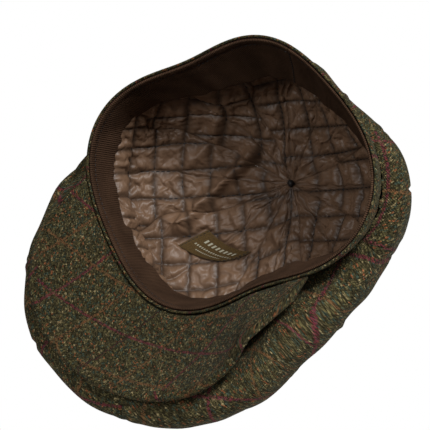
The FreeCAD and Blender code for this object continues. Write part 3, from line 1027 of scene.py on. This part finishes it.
class Band(Part):
    """A strip round the opening whose cross-section is a soft curve."""

    def strip(
        self, name: str, section: Sequence[tuple[float, float]], columns: int, rows: int, thickness: float,
        finish: bpy.types.Material, slot: str, replaced: Sequence[str], gap: float,
        creases: Sequence[tuple[float, float, float]] = (), turned: bool = False,
    ) -> bpy.types.Object:
        """A strip round the opening.

        Args:
            name: the piece's name.
            section: (distance out, height) points of its section, in mm.
            columns, rows: its cells round the opening and along the section.
            thickness: of the cloth, in mm.
            finish, replaced: as for dress(). slot: not used.
            gap: between its two ends at the back, in mm.
            creases: (angle, width, size) of the soft creases that run up it.
            turned: whether its outer side faces the opening.

        Returns:
            The piece.
        """
        controls = np.array(section, float)
        opening = gap / 2 / HEAD.radius

        def at(across: Array, along: Array) -> tuple[Array, Array, Array]:
            angle = opening + (2 * math.pi - 2 * opening) * across
            point = spline(np.repeat(controls[:, None], len(across), axis=1), along)
            return angle, point[:, 0], point[:, 1]

        def surface(across: Array, along: Array) -> Array:
            angle, out, height = at(across, along)
            up = np.clip(height / 30.0, 0.0, 1.0)
            for place, width, size in creases:
                out = out + size * up**1.5 * bump(angle - place + 0.25 * up, width)
            out = out + 0.5 * up * np.sin(angle * 17 + 2.0 * np.sin(3 * angle))
            out = out + 0.25 * up * np.sin(angle * 41)
            height = height + 0.35 * up * np.sin(angle * 23 + 1.3 * np.sin(5 * angle))
            return HEAD.place(angle, 1.0, out - HEAD.band_lean(angle, height), height)

        def cut(across: Array, along: Array) -> Array:
            angle, _, _ = at(across, along)
            shares = np.linspace(0.0, 1.0, 200)
            curve = spline(np.repeat(controls[:, None], 200, axis=1), shares)
            length = np.concatenate([[0.0], np.cumsum(np.linalg.norm(np.diff(curve, axis=0), axis=1))])
            return np.column_stack([angle * 94.0, np.interp(along, shares, length) + 34.0])

        sheet = Sheet(name, columns, rows, surface, cut, thickness, crowd_rows=0.3, turned=turned)
        piece = sheet.finish(sheet.build())
        dress(piece, finish, replaced)
        return piece


class Headband(Band):
    """The tweed strip, its interlining, and the ribbed sweatband with its stitching."""

    STRIP = ((2.5, 24.3), (2.7, 16), (2.8, 8), (2.8, 2.0), (2.3, -0.1), (1.5, -0.6), (0.8, 0.1), (0.6, 2.0),
             (0.6, 5.0))
    INTERLINING = ((1.3, 23.0), (1.4, 12.0), (1.4, 2.5))
    SWEATBAND = ((-0.3, 4.0), (-0.1, 1.6), (-0.3, 0.5), (-0.8, 0.2), (-1.25, 0.7), (-1.45, 3.0), (-0.95, 5.0),
                 (-1.3, 7.5), (-1.0, 16), (-1.0, 24), (-0.9, 29.0), (-0.5, 30.1), (-0.1, 29.6))
    CREASES = ((1.18, 0.05, 1.6), (1.53, 0.06, -1.4), (2.55, 0.07, 1.2), (4.35, 0.08, -1.1))

    def build(self) -> None:
        """All bands and their stitches."""
        w = self.wardrobe
        self.strip("headband_strip_cloth", self.STRIP, 540, 26, 0.5, w.tweed, "tweed", ["headband_strip"], 0.3)
        self.strip("headband_interlining_cloth", self.INTERLINING, 240, 4, 0.5, w.interlining, "interlining",
                   ["headband_interlining"], 0.5)
        self.strip("sweatband_twill", self.SWEATBAND, 720, 34, 0.4, w.twill, "sweatband_twill", ["sweatband"], 0.7,
                   self.CREASES, turned=True)
        self.topstitch()
        self.back_join()

    def topstitch(self) -> None:
        """The line of stitches above the rim."""
        thread = Thread(2.4, 0.42, 3.3)
        angle = np.linspace(0.02, 2 * math.pi - 0.02, 1400)
        line = HEAD.place(angle, 1.0, -1.3 - HEAD.band_lean(angle, np.full_like(angle, 5.0)), 5.0)
        places, ways = thread.along(line)
        normals = np.column_stack([-places[:, :2], np.zeros(len(places))])
        stitches = thread.sew("sweatband_topstitching", places, ways, normals)
        dress(stitches, self.wardrobe.thread, ["sweatband_topstitch"])

    def back_join(self) -> None:
        """Close zigzag stitches down the sweatband's butt join."""
        thread = Thread(1.9, 0.38, 1.1)
        height = np.linspace(1.6, 29.0, 60)
        angle = np.zeros_like(height)
        line = HEAD.place(angle, 1.0, -1.75 - HEAD.band_lean(angle, height), height)
        places, ways = thread.along(line)
        zigzag = np.where(np.arange(len(places)) % 2 == 0, 0.9, -0.9)
        ways = ways / np.linalg.norm(ways, axis=1, keepdims=True)
        ways[:, 0] += zigzag
        normals = np.tile([0.0, -1.0, 0.0], (len(places), 1))
        stitches = thread.sew("sweatband_join_stitches", places, ways, normals)
        dress(stitches, self.wardrobe.thread)


@dataclass(frozen=True)
class Quilting:
    """Two families of stitch lines that cross in diamonds on the lining's plan."""

    spacing: float = 17.0
    first: float = math.radians(-28.0)
    second: float = math.radians(60.0)
    shift: float = 0.0

    def families(self) -> tuple[tuple[float, float], tuple[float, float]]:
        """Each family's turn and shift."""
        return (self.first, self.shift), (self.second, self.shift * 0.6 + 4.0)

    def nearest(self, plan: Array) -> Array:
        """Distance of places on the lining's plan from the nearest stitch line."""
        best = np.full(len(plan), np.inf)
        for turn, shift in self.families():
            across = (plan[:, 0] * math.cos(turn) + plan[:, 1] * math.sin(turn) + shift) / self.spacing
            best = np.minimum(best, np.abs(across - np.round(across)) * self.spacing)
        return best

    def gathers(self, plan: Array) -> Array:
        """Small puckers that run out square from the stitch lines, from -1 to 1."""
        total = np.zeros(len(plan))
        for order, (turn, shift) in enumerate(self.families()):
            across = (plan[:, 0] * math.cos(turn) + plan[:, 1] * math.sin(turn) + shift) / self.spacing
            along = plan[:, 1] * math.cos(turn) - plan[:, 0] * math.sin(turn)
            away = np.abs(across - np.round(across)) * self.spacing
            row = np.round(across)
            phase = 2.3 * row + order + 2.6 * np.sin(along / 5.0 + 1.7 * row)
            phase = phase + 1.1 * np.sin(along / 2.1 + 3.1 * row)
            size = 0.6 + 0.4 * np.sin(along / 7.0 + 2.9 * row)
            total += size * np.sin(along * 1.05 + phase) * np.exp(-away / 3.6) * (1 - np.exp(-away / 0.8))
        return total


@dataclass(frozen=True)
class Drape:
    """A large soft fold of the lining, along a line over the opening's plan."""

    line: tuple
    width: float
    height: float

    def at(self, points: Array) -> Array:
        """How far the fold stands in from the lining at (N, 3) points."""
        nearest = np.full(len(points), np.inf)
        for start, end in zip(np.array(self.line, float), np.array(self.line, float)[1:]):
            run = end - start
            share = np.clip((points[:, :2] - start) @ run / (run @ run), 0.0, 1.0)
            away = np.linalg.norm(points[:, :2] - start - share[:, None] * run, axis=1)
            nearest = np.minimum(nearest, away)
        return self.height * bump(nearest, self.width)


class Lining(Part):
    """Quilted satin gores over wadding, sewn to the sweatband, with the label."""

    PIN = 0.75
    PLAN_SCALE = 0.86
    WANDER = 0.055
    THREAD = Thread(2.7, 0.52, 3.7)
    DRAPES = (
        Drape(((34, 6), (43, -17), (52, -44), (53, -55), (57, -63)), 4.6, 8.0),
        Drape(((60, 30), (66, 5), (72, -20)), 7.0, 3.0),
        Drape(((-20, 40), (-42, 30), (-60, 8)), 7.0, 2.5),
        Drape(((-10, -30), (-35, -45), (-60, -50)), 7.0, 2.5),
        Drape(((10, 45), (14, 28), (10, 12)), 5.0, 2.0),
    )
    LABEL = ((146.0, 0.567), (166.0, 0.700), (177.0, 0.783), (145.0, 0.717))

    def __init__(self, wardrobe: Wardrobe) -> None:
        super().__init__(wardrobe)
        self.stitches: list[tuple[Array, Array, Array]] = []

    def quilting(self, number: int) -> Quilting:
        """The quilting of one gore, a little different on each."""
        rng = np.random.default_rng(SEED + 20 + number)
        turn = math.radians(rng.uniform(-5, 5))
        return Quilting(first=Quilting.first + turn, second=Quilting.second + turn, shift=rng.uniform(-4, 4))

    def plan(self, shape: GoreShape, angle: Array, along: Array) -> Array:
        """(N, 2) places on the lining laid out round its middle, as wide as the lining is long."""
        flat = shape.flat(np.full_like(along, 0.5), along)[:, 1]
        reach = (shape.flat(np.full(1, 0.5), np.ones(1))[0, 1] - flat) * self.PLAN_SCALE
        return np.column_stack([reach * np.sin(angle), reach * np.cos(angle)])

    def base(self, angle: Array, share: Array, inward: Array) -> Array:
        """Points on the draped lining.

        Args:
            angle, share: where on the lining.
            inward: how far the points stand in towards the head, in mm.

        Returns:
            (N, 3) points in the rim frame, in mm.
        """
        smooth = LINING.at(angle, share)
        radius = np.linalg.norm(smooth[:, :2], axis=1)
        drape = sum((fold.at(smooth) for fold in self.DRAPES), np.zeros(len(smooth)))
        slack = Ripple(SEED + 5, 48.0, 1.0).at(smooth)
        slack = slack * np.clip((1 - share) * 4, 0, 1) * np.clip(share * 6, 0, 1)
        pucker = 0.2 * np.exp(-radius / 6.0) * np.sin(9 * angle + 1.8 * np.sin(2 * angle))
        pucker = pucker * np.clip(radius / 3, 0, 1)
        away = drape * np.clip(share * 5, 0, 1) + slack + pucker + inward
        return smooth - LINING.outward(angle, share) * away[:, None]

    def under_label(self, angle: Array, share: Array, grow: float = 1.0) -> Array:
        """Whether points lie under the label."""
        corners = np.array(self.LABEL)
        middle = corners.mean(axis=0)
        corners = middle + (corners - middle) * grow
        here = np.column_stack([np.degrees(np.mod(angle, 2 * math.pi)), share])
        inside = np.ones(len(here), bool)
        for start, end in zip(corners, np.roll(corners, -1, axis=0)):
            run = (end - start) * (1.0, 100.0)
            place = (here - start) * (1.0, 100.0)
            inside &= run[0] * place[:, 1] - run[1] * place[:, 0] > 0
        return inside

    def gore(self, number: int) -> bpy.types.Object:
        """One quilted satin gore."""
        shape = GoreShape(LINING, number, 0.1, self.WANDER)
        quilting = self.quilting(number)

        def margins(across: Array, along: Array) -> tuple[Array, Array, Array]:
            flat = shape.flat(across, along)
            width = np.abs(flat[:, 0]) / np.maximum(np.abs(across - 0.5), 0.02)
            seam = np.minimum(across, 1 - across) * width
            ends = np.minimum(flat[:, 1], flat[:, 1].max() - flat[:, 1])
            return seam, ends, quilting.nearest(self.plan(shape, shape.angle(across, along), along))

        def surface(across: Array, along: Array) -> Array:
            angle = shape.angle(across, along)
            seam, ends, line = margins(across, along)
            near = np.minimum(np.minimum(seam, ends), line)
            covered = self.under_label(angle, along, 1.16)
            pillow = np.where(covered, 0.0, 4.2 * (1 - np.exp(-near / 3.0)))
            crease = Ripple(SEED + 9, 7.0, 0.25).at(LINING.at(angle, along)) * np.clip(near / 2.5, 0, 1)
            gathers = quilting.gathers(self.plan(shape, angle, along)) * np.clip(seam / 3.0, 0, 1)
            crease = crease + 0.55 * gathers
            return self.base(angle, along, pillow + np.where(covered, 0, crease) - 0.1 * bump(seam, 0.9))

        sheet = Sheet(f"lining_gore_{number + 1}_satin", 58, 92, surface, shape.flat, 0.6, crowd=0.25, smooth=1,
                      turned=True)
        piece = sheet.build()
        across, along = sheet.shares
        seam, ends, line = margins(across, along)
        near = np.minimum(np.minimum(seam, ends), line)
        # Painted shade: how dark the satin is painted, strongest on the quilting lines and weaker along the gore
        # seams, where the furrows lie in shadow.
        painted_furrow_shade = piece.data.attributes.new("painted_furrow_shade", "FLOAT", "POINT")
        furrow_shade_amount = np.maximum(bump(line, 1.9), 0.35 * bump(seam, 1.2))
        painted_furrow_shade.data.foreach_set("value", furrow_shade_amount.astype(np.float32))
        puff(piece, (near < self.PIN) | self.under_label(shape.angle(across, along), along, 1.16))
        sheet.finish(piece)
        dress(piece, self.wardrobe.satin, [f"lining_satin_{number + 1}"])
        self.quilt(shape, quilting)
        return piece

    def quilt(self, shape: GoreShape, quilting: Quilting) -> None:
        """Note where the stitches of one gore's quilting go."""
        thread = self.THREAD
        shares = np.linspace(0.0, 1.0, 160)
        spine = self.plan(shape, np.zeros_like(shares), shares)[:, 1]
        for turn, shift in quilting.families():
            for index in range(-9, 10):
                centre = index * quilting.spacing - shift
                reach = np.linspace(-130, 130, 1041)
                x = centre * math.cos(turn) - reach * math.sin(turn)
                y = centre * math.sin(turn) + reach * math.cos(turn)
                radius = np.hypot(x, y)
                along = np.interp(radius, spine[::-1], shares[::-1], right=-1.0)
                angle = np.arctan2(x, y)
                middle = np.mod(angle - shape.middle + math.pi, 2 * math.pi) - math.pi + shape.middle
                low, high = (shape.seam(shape.number + side, np.maximum(along, 0.0)) for side in (0, 1))
                slack = 1.0 / np.maximum(radius, 1.0)
                good = (middle > low + slack) & (middle < high - slack) & (along > 0.03) & (along < 0.985)
                if good.sum() < 12:
                    continue
                angle, along = middle[good], along[good]
                line = self.base(angle, along, np.full_like(along, 0.95))
                normal = -LINING.outward(angle, along)
                places, ways = thread.along(line)
                if not len(places):
                    continue
                near = np.argmin(np.linalg.norm(places[:, None] - line[None], axis=2), axis=1)
                clear = ~self.under_label(angle[near], along[near], 1.1)
                self.stitches.append((places[clear], ways[clear], normal[near][clear]))

    def wadding(self, number: int) -> bpy.types.Object:
        """The soft filling behind one gore."""
        shape = GoreShape(LINING, number, 0.5, self.WANDER)

        def surface(across: Array, along: Array) -> Array:
            seam = np.minimum(across, 1 - across)
            full = np.clip(seam * 9, 0, 1) * np.clip((1 - along) * 9, 0, 1) * np.clip(along * 8, 0, 1)
            return self.base(shape.angle(across, 0.07 + 0.93 * along), 0.07 + 0.93 * along, -1.5 - full)

        sheet = Sheet(f"lining_wadding_{number + 1}_fill", 18, 30, surface, shape.flat, 0.0)
        piece = sheet.build()
        wall = piece.modifiers.new("thickness", "SOLIDIFY")
        wall.thickness, wall.offset = 0.8 * MM, 1.0
        dress(piece, self.wardrobe.wadding, [f"lining_wadding_{number + 1}"])
        return piece

    def label(self) -> None:
        """The woven label, its two short ends folded under and sewn down."""
        corners = np.array(self.LABEL)

        def spot(across: Array, along: Array) -> tuple[Array, Array]:
            low = corners[0] + (corners[1] - corners[0]) * across[:, None]
            high = corners[3] + (corners[2] - corners[3]) * across[:, None]
            mixed = low + (high - low) * along[:, None]
            return np.radians(mixed[:, 0]), mixed[:, 1]

        def surface(across: Array, along: Array) -> Array:
            angle, share = spot(across, along)
            edge = np.minimum(across, 1 - across) * 36.0
            belly = 0.55 * (1 - bump(edge, 3.0)) + 0.3 * np.sin(3.0 * across + 4.0 * along)
            return self.base(angle, share, 1.5 + belly + 0.35 * bump(edge - 1.6, 1.0))

        def cut(across: Array, along: Array) -> Array:
            return np.column_stack([(across - 0.5) * 34.0, (along - 0.5) * 20.0])

        sheet = Sheet("label_weave", 60, 36, surface, cut, 0.35, turned=True)
        piece = sheet.finish(sheet.build())
        dress(piece, self.wardrobe.label, ["label"])
        thread = Thread(2.2, 0.38, 2.9)
        found = []
        for end in (0.035, 0.965):
            along = np.linspace(0.02, 0.98, 60)
            across = np.full_like(along, end)
            line = surface(across, along)
            angle, share = spot(across, along)
            places, ways = thread.along(line)
            normal = np.tile(-LINING.outward(angle, share).mean(axis=0), (len(places), 1))
            found.append((places + normal * 0.3, ways, normal))
        sewn = [np.concatenate(group) for group in zip(*found)]
        dress(thread.sew("label_end_stitches", *sewn), self.wardrobe.thread)

    def build(self) -> None:
        """All of the lining."""
        for number in range(GORES):
            self.gore(number)
            log.info("lining gore %d made", number + 1)
        for number in range(GORES):
            self.wadding(number)
        sewn = [np.concatenate(group) for group in zip(*self.stitches)]
        log.info("%d quilting stitches", len(sewn[0]))
        dress(self.THREAD.sew("quilting_stitches", *sewn), self.wardrobe.thread)
        self.label()


class Peak(Part):
    """The peak: covers above and below, and board and padding between them."""

    ROLL = 2.9

    def angles(self, across: Array, inset: float = 0.0) -> Array:
        """Angles for shares across the peak from tip to tip."""
        half = PEAK.half_width - inset
        return HEAD.angle_at(half * (2 * across - 1))

    def top_path(self, angle: Array, along: Array) -> tuple[Array, Array, Array]:
        """Share, distance beyond and height of the top cover: over the peak, round its edge and under."""
        reach = np.maximum(PEAK.edge(angle)[2], 1.0)
        end = 1.0 - np.minimum(self.ROLL / reach, 0.4)
        over, round_edge = 0.74, 0.93
        share = np.where(along < over, end * along / over, end)
        turn = np.clip((along - over) / (round_edge - over), 0.0, 1.0) * math.pi
        back = np.clip((along - round_edge) / (1 - round_edge), 0.0, 1.0)
        beyond = self.ROLL * np.sin(turn) - 2.2 * back
        height = self.ROLL * (1 + np.cos(turn)) + 0.15 * bump(back, 0.5) - 0.1
        return share, beyond, height

    def top_cover(self) -> bpy.types.Object:
        """The top cover, wrapped round the edge."""

        def surface(across: Array, along: Array) -> Array:
            angle = self.angles(across)
            share, beyond, height = self.top_path(angle, along)
            ripple = Ripple(SEED + 7, 24.0, 0.25).at(PEAK.at(angle, share))
            return PEAK.layer(angle, share, beyond, height + ripple)

        def cut(across: Array, along: Array) -> Array:
            angle = self.angles(across)
            share, _, _ = self.top_path(angle, along)
            full = np.clip(PEAK.edge(angle)[2] / 16.0, 0.12, 1.0)
            rolled = np.clip((along - 0.74) / 0.19, 0.0, 1.0) * math.pi * self.ROLL
            return PEAK.cut(angle, share, (rolled + np.clip((along - 0.93) / 0.07, 0.0, 1.0) * 2.2) * full)

        sheet = Sheet("peak_top_cover_cloth", 200, 70, surface, cut, 0.9)
        return self.cover(sheet, "peak_top_cover")

    def under_cover(self) -> bpy.types.Object:
        """The under cover, sewn in a little way from the edge."""

        def surface(across: Array, along: Array) -> Array:
            angle = self.angles(across)
            reach = np.maximum(PEAK.edge(angle)[2], 1.0)
            share = along * (1.0 - np.minimum(4.4 / reach, 0.6))
            tuck = 0.7 * bump((1 - along) * reach, 1.6) + 0.3 * bump(along * reach, 1.6)
            ripple = Ripple(SEED + 8, 30.0, 0.3).at(PEAK.at(angle, share)) * np.clip((1 - along) * 5, 0, 1)
            return PEAK.layer(angle, share, np.zeros_like(share), tuck + ripple)

        def cut(across: Array, along: Array) -> Array:
            return PEAK.cut(self.angles(across), along)

        sheet = Sheet("peak_under_cover_cloth", 200, 56, surface, cut, 0.9, crowd_rows=0.5, turned=True)
        return self.cover(sheet, "peak_under_cover")

    def cover(self, sheet: Sheet, node: str) -> bpy.types.Object:
        """Finish and dress one of the two covers."""
        piece = sheet.finish(sheet.build())
        dress(piece, self.wardrobe.tweed, [node])
        return piece

    def filler(
        self, name: str, node: str, low: float, thickness: float, inset: float,
        finish: bpy.types.Material, slot: str,
    ) -> bpy.types.Object:
        """A flat layer inside the peak.

        Args:
            name, node: the piece's name and the CAD node that it stands for.
            low, thickness: its underside's height in the peak, and its own, in mm.
            inset: how far its edge stays from the peak's, in mm.
            finish: its material. slot: not used.

        Returns:
            The piece.
        """

        def surface(across: Array, along: Array) -> Array:
            angle = self.angles(across, 6.0)
            reach = np.maximum(PEAK.edge(angle)[2], 1.0)
            share = 1.0 / reach + along * np.maximum(1.0 - (inset + 1.0) / reach, 0.05)
            return PEAK.layer(angle, share, np.zeros_like(share), np.full_like(share, low + thickness))

        def cut(across: Array, along: Array) -> Array:
            return PEAK.cut(self.angles(across, 6.0), along)

        sheet = Sheet(name, 100, 24, surface, cut, thickness)
        return dress(sheet.finish(sheet.build()), finish, [node])

    def build(self) -> None:
        """All of the peak."""
        self.top_cover()
        self.under_cover()
        self.filler("peak_board_sheet", "peak_board", 1.5, 1.3, 5.0, self.wardrobe.board, "peak_board")
        wadding = self.wardrobe.wadding
        padding = self.filler("peak_padding_fill", "peak_padding", 3.3, 0.9, 6.0, wadding, "wadding")


class Trimmings(Part):
    """The covered button, its knot, and the two halves of the press stud."""

    BUTTON_Z = 93.2
    BUTTON = ((0, 0.2), (7, 0.1), (9.9, 0.2), (10.9, 0.9), (10.8, 1.8), (9.8, 3.1), (7.9, 4.4), (5.2, 5.4),
              (2.6, 5.85), (0, 5.95))
    BALL = ((0, 0), (4.6, 0), (5.0, 0.25), (4.7, 0.6), (2.2, 0.75), (1.5, 0.95), (1.55, 1.3), (1.1, 1.5),
            (0, 1.5))
    SOCKET = ((0, 1.0), (4.6, 1.0), (5.0, 0.75), (4.8, 0.2), (3.2, 0.0), (2.2, 0.05), (1.9, 0.4), (0, 0.45))

    def turned(
        self, name: str, section: Sequence[tuple[float, float]], centre: Vector, axis: Vector, steps: int = 40
    ) -> bpy.types.Object:
        """A round piece, closed on its axis.

        Args:
            name: the piece's name.
            section: (radius, height) points in mm, from the axis to the axis.
            centre, axis: where it stands and which way, in metres.
            steps: how many sides it has.

        Returns:
            The piece, not yet dressed.
        """
        shell = bmesh.new()
        ring = [shell.verts.new((radius * MM, 0.0, height * MM)) for radius, height in section]
        edges = [shell.edges.new(pair) for pair in zip(ring, ring[1:])]
        bmesh.ops.spin(shell, geom=[*ring, *edges], cent=(0, 0, 0), axis=(0, 0, 1), angle=2 * math.pi,
                       steps=steps)
        bmesh.ops.remove_doubles(shell, verts=shell.verts, dist=1e-6)
        bmesh.ops.recalc_face_normals(shell, faces=shell.faces)
        pose = Matrix.Translation(centre) @ axis.to_track_quat("Z", "Y").to_matrix().to_4x4()
        uv = shell.loops.layers.uv.new("cloth")
        for face in shell.faces:
            for loop in face.loops:
                loop[uv].uv = (loop.vert.co.x + 0.012, loop.vert.co.y + 0.018)
        shell.transform(pose)
        mesh = bpy.data.meshes.new(name)
        shell.to_mesh(mesh)
        shell.free()
        mesh.shade_smooth()
        piece = link(name, mesh)
        rounded = piece.modifiers.new("rounded", "SUBSURF")
        rounded.levels = rounded.render_levels = 1
        return piece

    def button(self) -> None:
        """The tweed-covered button on top."""
        up = HEAD.turn((0, 0, 1)).normalized()
        foot = Vector(HEAD.at_rest(np.array([[0.0, 0.0, self.BUTTON_Z]]))[0])
        cover = self.turned("top_button_cloth", self.BUTTON, foot, up)
        cover.data.materials.append(self.wardrobe.tweed)
        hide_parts("top_button_cover")
        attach(cover, "cap")

    def knot(self) -> None:
        """The thread knot that holds lining and button together."""
        rng = np.random.default_rng(SEED + 3)
        turns = np.linspace(0, 2 * math.pi, 40, endpoint=False)
        lines = []
        for _ in range(7):
            tilt, way, size = rng.uniform(0.1, 0.7), rng.uniform(0, 2 * math.pi), rng.uniform(1.2, 1.9)
            rise = tilt * size * np.sin(turns + way)
            ring = np.column_stack([size * np.cos(turns), size * np.sin(turns), rise])
            lines.append(ring + (*rng.uniform(-0.4, 0.4, 2), 83.3 + rng.uniform(-0.6, 0.4)))
        thread = Thread(1.1, 0.3, 0.8)
        found = [thread.along(line) for line in lines]
        places, ways = (np.concatenate(group) for group in zip(*found))
        normals = np.tile([0.0, 0.0, -1.0], (len(places), 1))
        dress(thread.sew("lining_knot", places, ways, normals), self.wardrobe.thread)

    def studs(self) -> None:
        """Ball half on the peak, socket half under the crown."""
        angle = np.array([HEAD.front])
        share = np.array([0.60])
        foot = PEAK.layer(angle, share, np.zeros(1), np.array([PEAK.thickness + 0.3]))[0]
        up = PEAK.frame(angle, share)[1][0]
        axis = HEAD.turn(up).normalized()
        for name, section, lift, node in (("peak_stud_ball", self.BALL, 0.0, "peak_press_stud"),
                                          ("crown_stud_socket", self.SOCKET, 3.3, "crown_press_socket")):
            centre = Vector(HEAD.at_rest((foot + up * lift)[None])[0])
            dress(self.turned(name, section, centre, axis, 28), self.wardrobe.metal, [node])

    def build(self) -> None:
        """All trimmings, and better finishes on the small CAD pieces that stay."""
        self.button()
        self.knot()
        self.studs()
        kept = {"button_tack": self.wardrobe.thread, "top_button_shell": self.wardrobe.shell}
        for node, finish in kept.items():
            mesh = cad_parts[node].data
            mesh.materials.clear()
            mesh.materials.append(finish)


# ------------------------------------------------------------------ stage


@dataclass(frozen=True)
class Studio:
    """A plain pale floor, soft lights from the camera's side and from above, and the camera."""

    floor_z: float = -0.0210
    view: tuple = (0.4730, -0.1620, 0.8660)
    right: tuple = (-0.7663, 0.4095, 0.4952)
    up: tuple = (0.4348, 0.8979, -0.0696)
    distance: float = 1.1
    half_frame: float = 0.1366
    shift: tuple = (-0.035, -0.093)

    def floor(self) -> None:
        """A floor that is seen from above only, and lets the light from beneath through."""
        grid = bmesh.new()
        bmesh.ops.create_grid(grid, x_segments=1, y_segments=1, size=3.0)
        mesh = bpy.data.meshes.new("floor")
        grid.to_mesh(mesh)
        grid.free()
        plane = link("floor", mesh)
        plane.location.z = self.floor_z
        material = bpy.data.materials.new("pale floor")
        material.use_nodes = True
        graph = Graph(material.node_tree)
        shader = material.node_tree.nodes["Principled BSDF"]
        shader.inputs["Base Color"].default_value = (0.78, 0.78, 0.77, 1.0)
        shader.inputs["Roughness"].default_value = 0.9
        clear = graph.node("ShaderNodeBsdfTransparent")
        facing = graph.node("ShaderNodeNewGeometry").outputs["Backfacing"]
        shadow = graph.node("ShaderNodeLightPath").outputs["Is Shadow Ray"]
        mixed = graph.node("ShaderNodeMixShader", {0: graph.math("MAXIMUM", facing, shadow)})
        graph.join(mixed.inputs[1], shader.outputs[0])
        graph.join(mixed.inputs[2], clear.outputs[0])
        graph.join(material.node_tree.nodes["Material Output"].inputs["Surface"], mixed.outputs[0])
        mesh.materials.append(material)

    def world(self) -> None:
        """White surroundings, dimmer as light than as seen."""
        world = bpy.data.worlds.new("surroundings")
        world.use_nodes = True
        graph = Graph(world.node_tree)
        background = world.node_tree.nodes["Background"]
        background.inputs[0].default_value = (1.0, 1.0, 1.0, 1.0)
        seen = graph.node("ShaderNodeLightPath").outputs["Is Camera Ray"]
        graph.join(background.inputs[1], graph.math("ADD", 0.40, graph.math("MULTIPLY", seen, 0.60)))
        bpy.context.scene.world = world

    def lamp(self, name: str, place: Vector, power: float, size: float) -> None:
        """A soft square light aimed at the cap."""
        data = bpy.data.lights.new(name, "AREA")
        data.energy, data.size = power, size
        lamp = bpy.data.objects.new(name, data)
        bpy.context.scene.collection.objects.link(lamp)
        lamp.location = place
        lamp.rotation_euler = (Vector((0, -0.03, 0.04)) - place).to_track_quat("-Z", "Y").to_euler()

    def lights(self) -> None:
        """Key and fill beneath, for looking into the cap; one above."""
        view, right, up = (HEAD.turn(way) for way in (self.view, self.right, self.up))
        self.lamp("key", -0.85 * view + 0.75 * up + 0.45 * right, 15.0, 0.3)
        self.lamp("fill", -1.0 * view + 0.35 * up - 0.75 * right, 5.5, 0.35)
        self.lamp("above", Vector((-0.55, -0.45, 1.15)), 9.0, 0.7)

    def camera(self) -> None:
        """The camera, looking up into the opening."""
        scene = bpy.context.scene
        data = bpy.data.cameras.new("camera")
        data.sensor_width = 36.0
        data.angle = 2 * math.atan(self.half_frame / self.distance)
        data.shift_x, data.shift_y = self.shift
        data.clip_start, data.clip_end = 0.05, 20.0
        camera = bpy.data.objects.new("camera", data)
        scene.collection.objects.link(camera)
        view, right, up = (HEAD.turn(way) for way in (self.view, self.right, self.up))
        turn = Matrix((right, up, -view)).transposed()
        camera.matrix_world = Matrix.Translation(-self.distance * view) @ turn.to_4x4()
        scene.camera = camera
        scene.render.resolution_x = scene.render.resolution_y = 430
        scene.view_settings.view_transform = "Standard"

    def build(self) -> None:
        """The whole stage."""
        self.floor()
        self.world()
        self.lights()
        self.camera()


def main() -> None:
    """Build the cap from the lining out, then its stage."""
    wardrobe = Wardrobe()
    Lining(wardrobe).build()
    for part in (Headband, Crown, Peak, Trimmings):
        part(wardrobe).build()
        log.info("%s made", part.__name__)
    Studio().build()


if __name__ == "__main__":
    main()
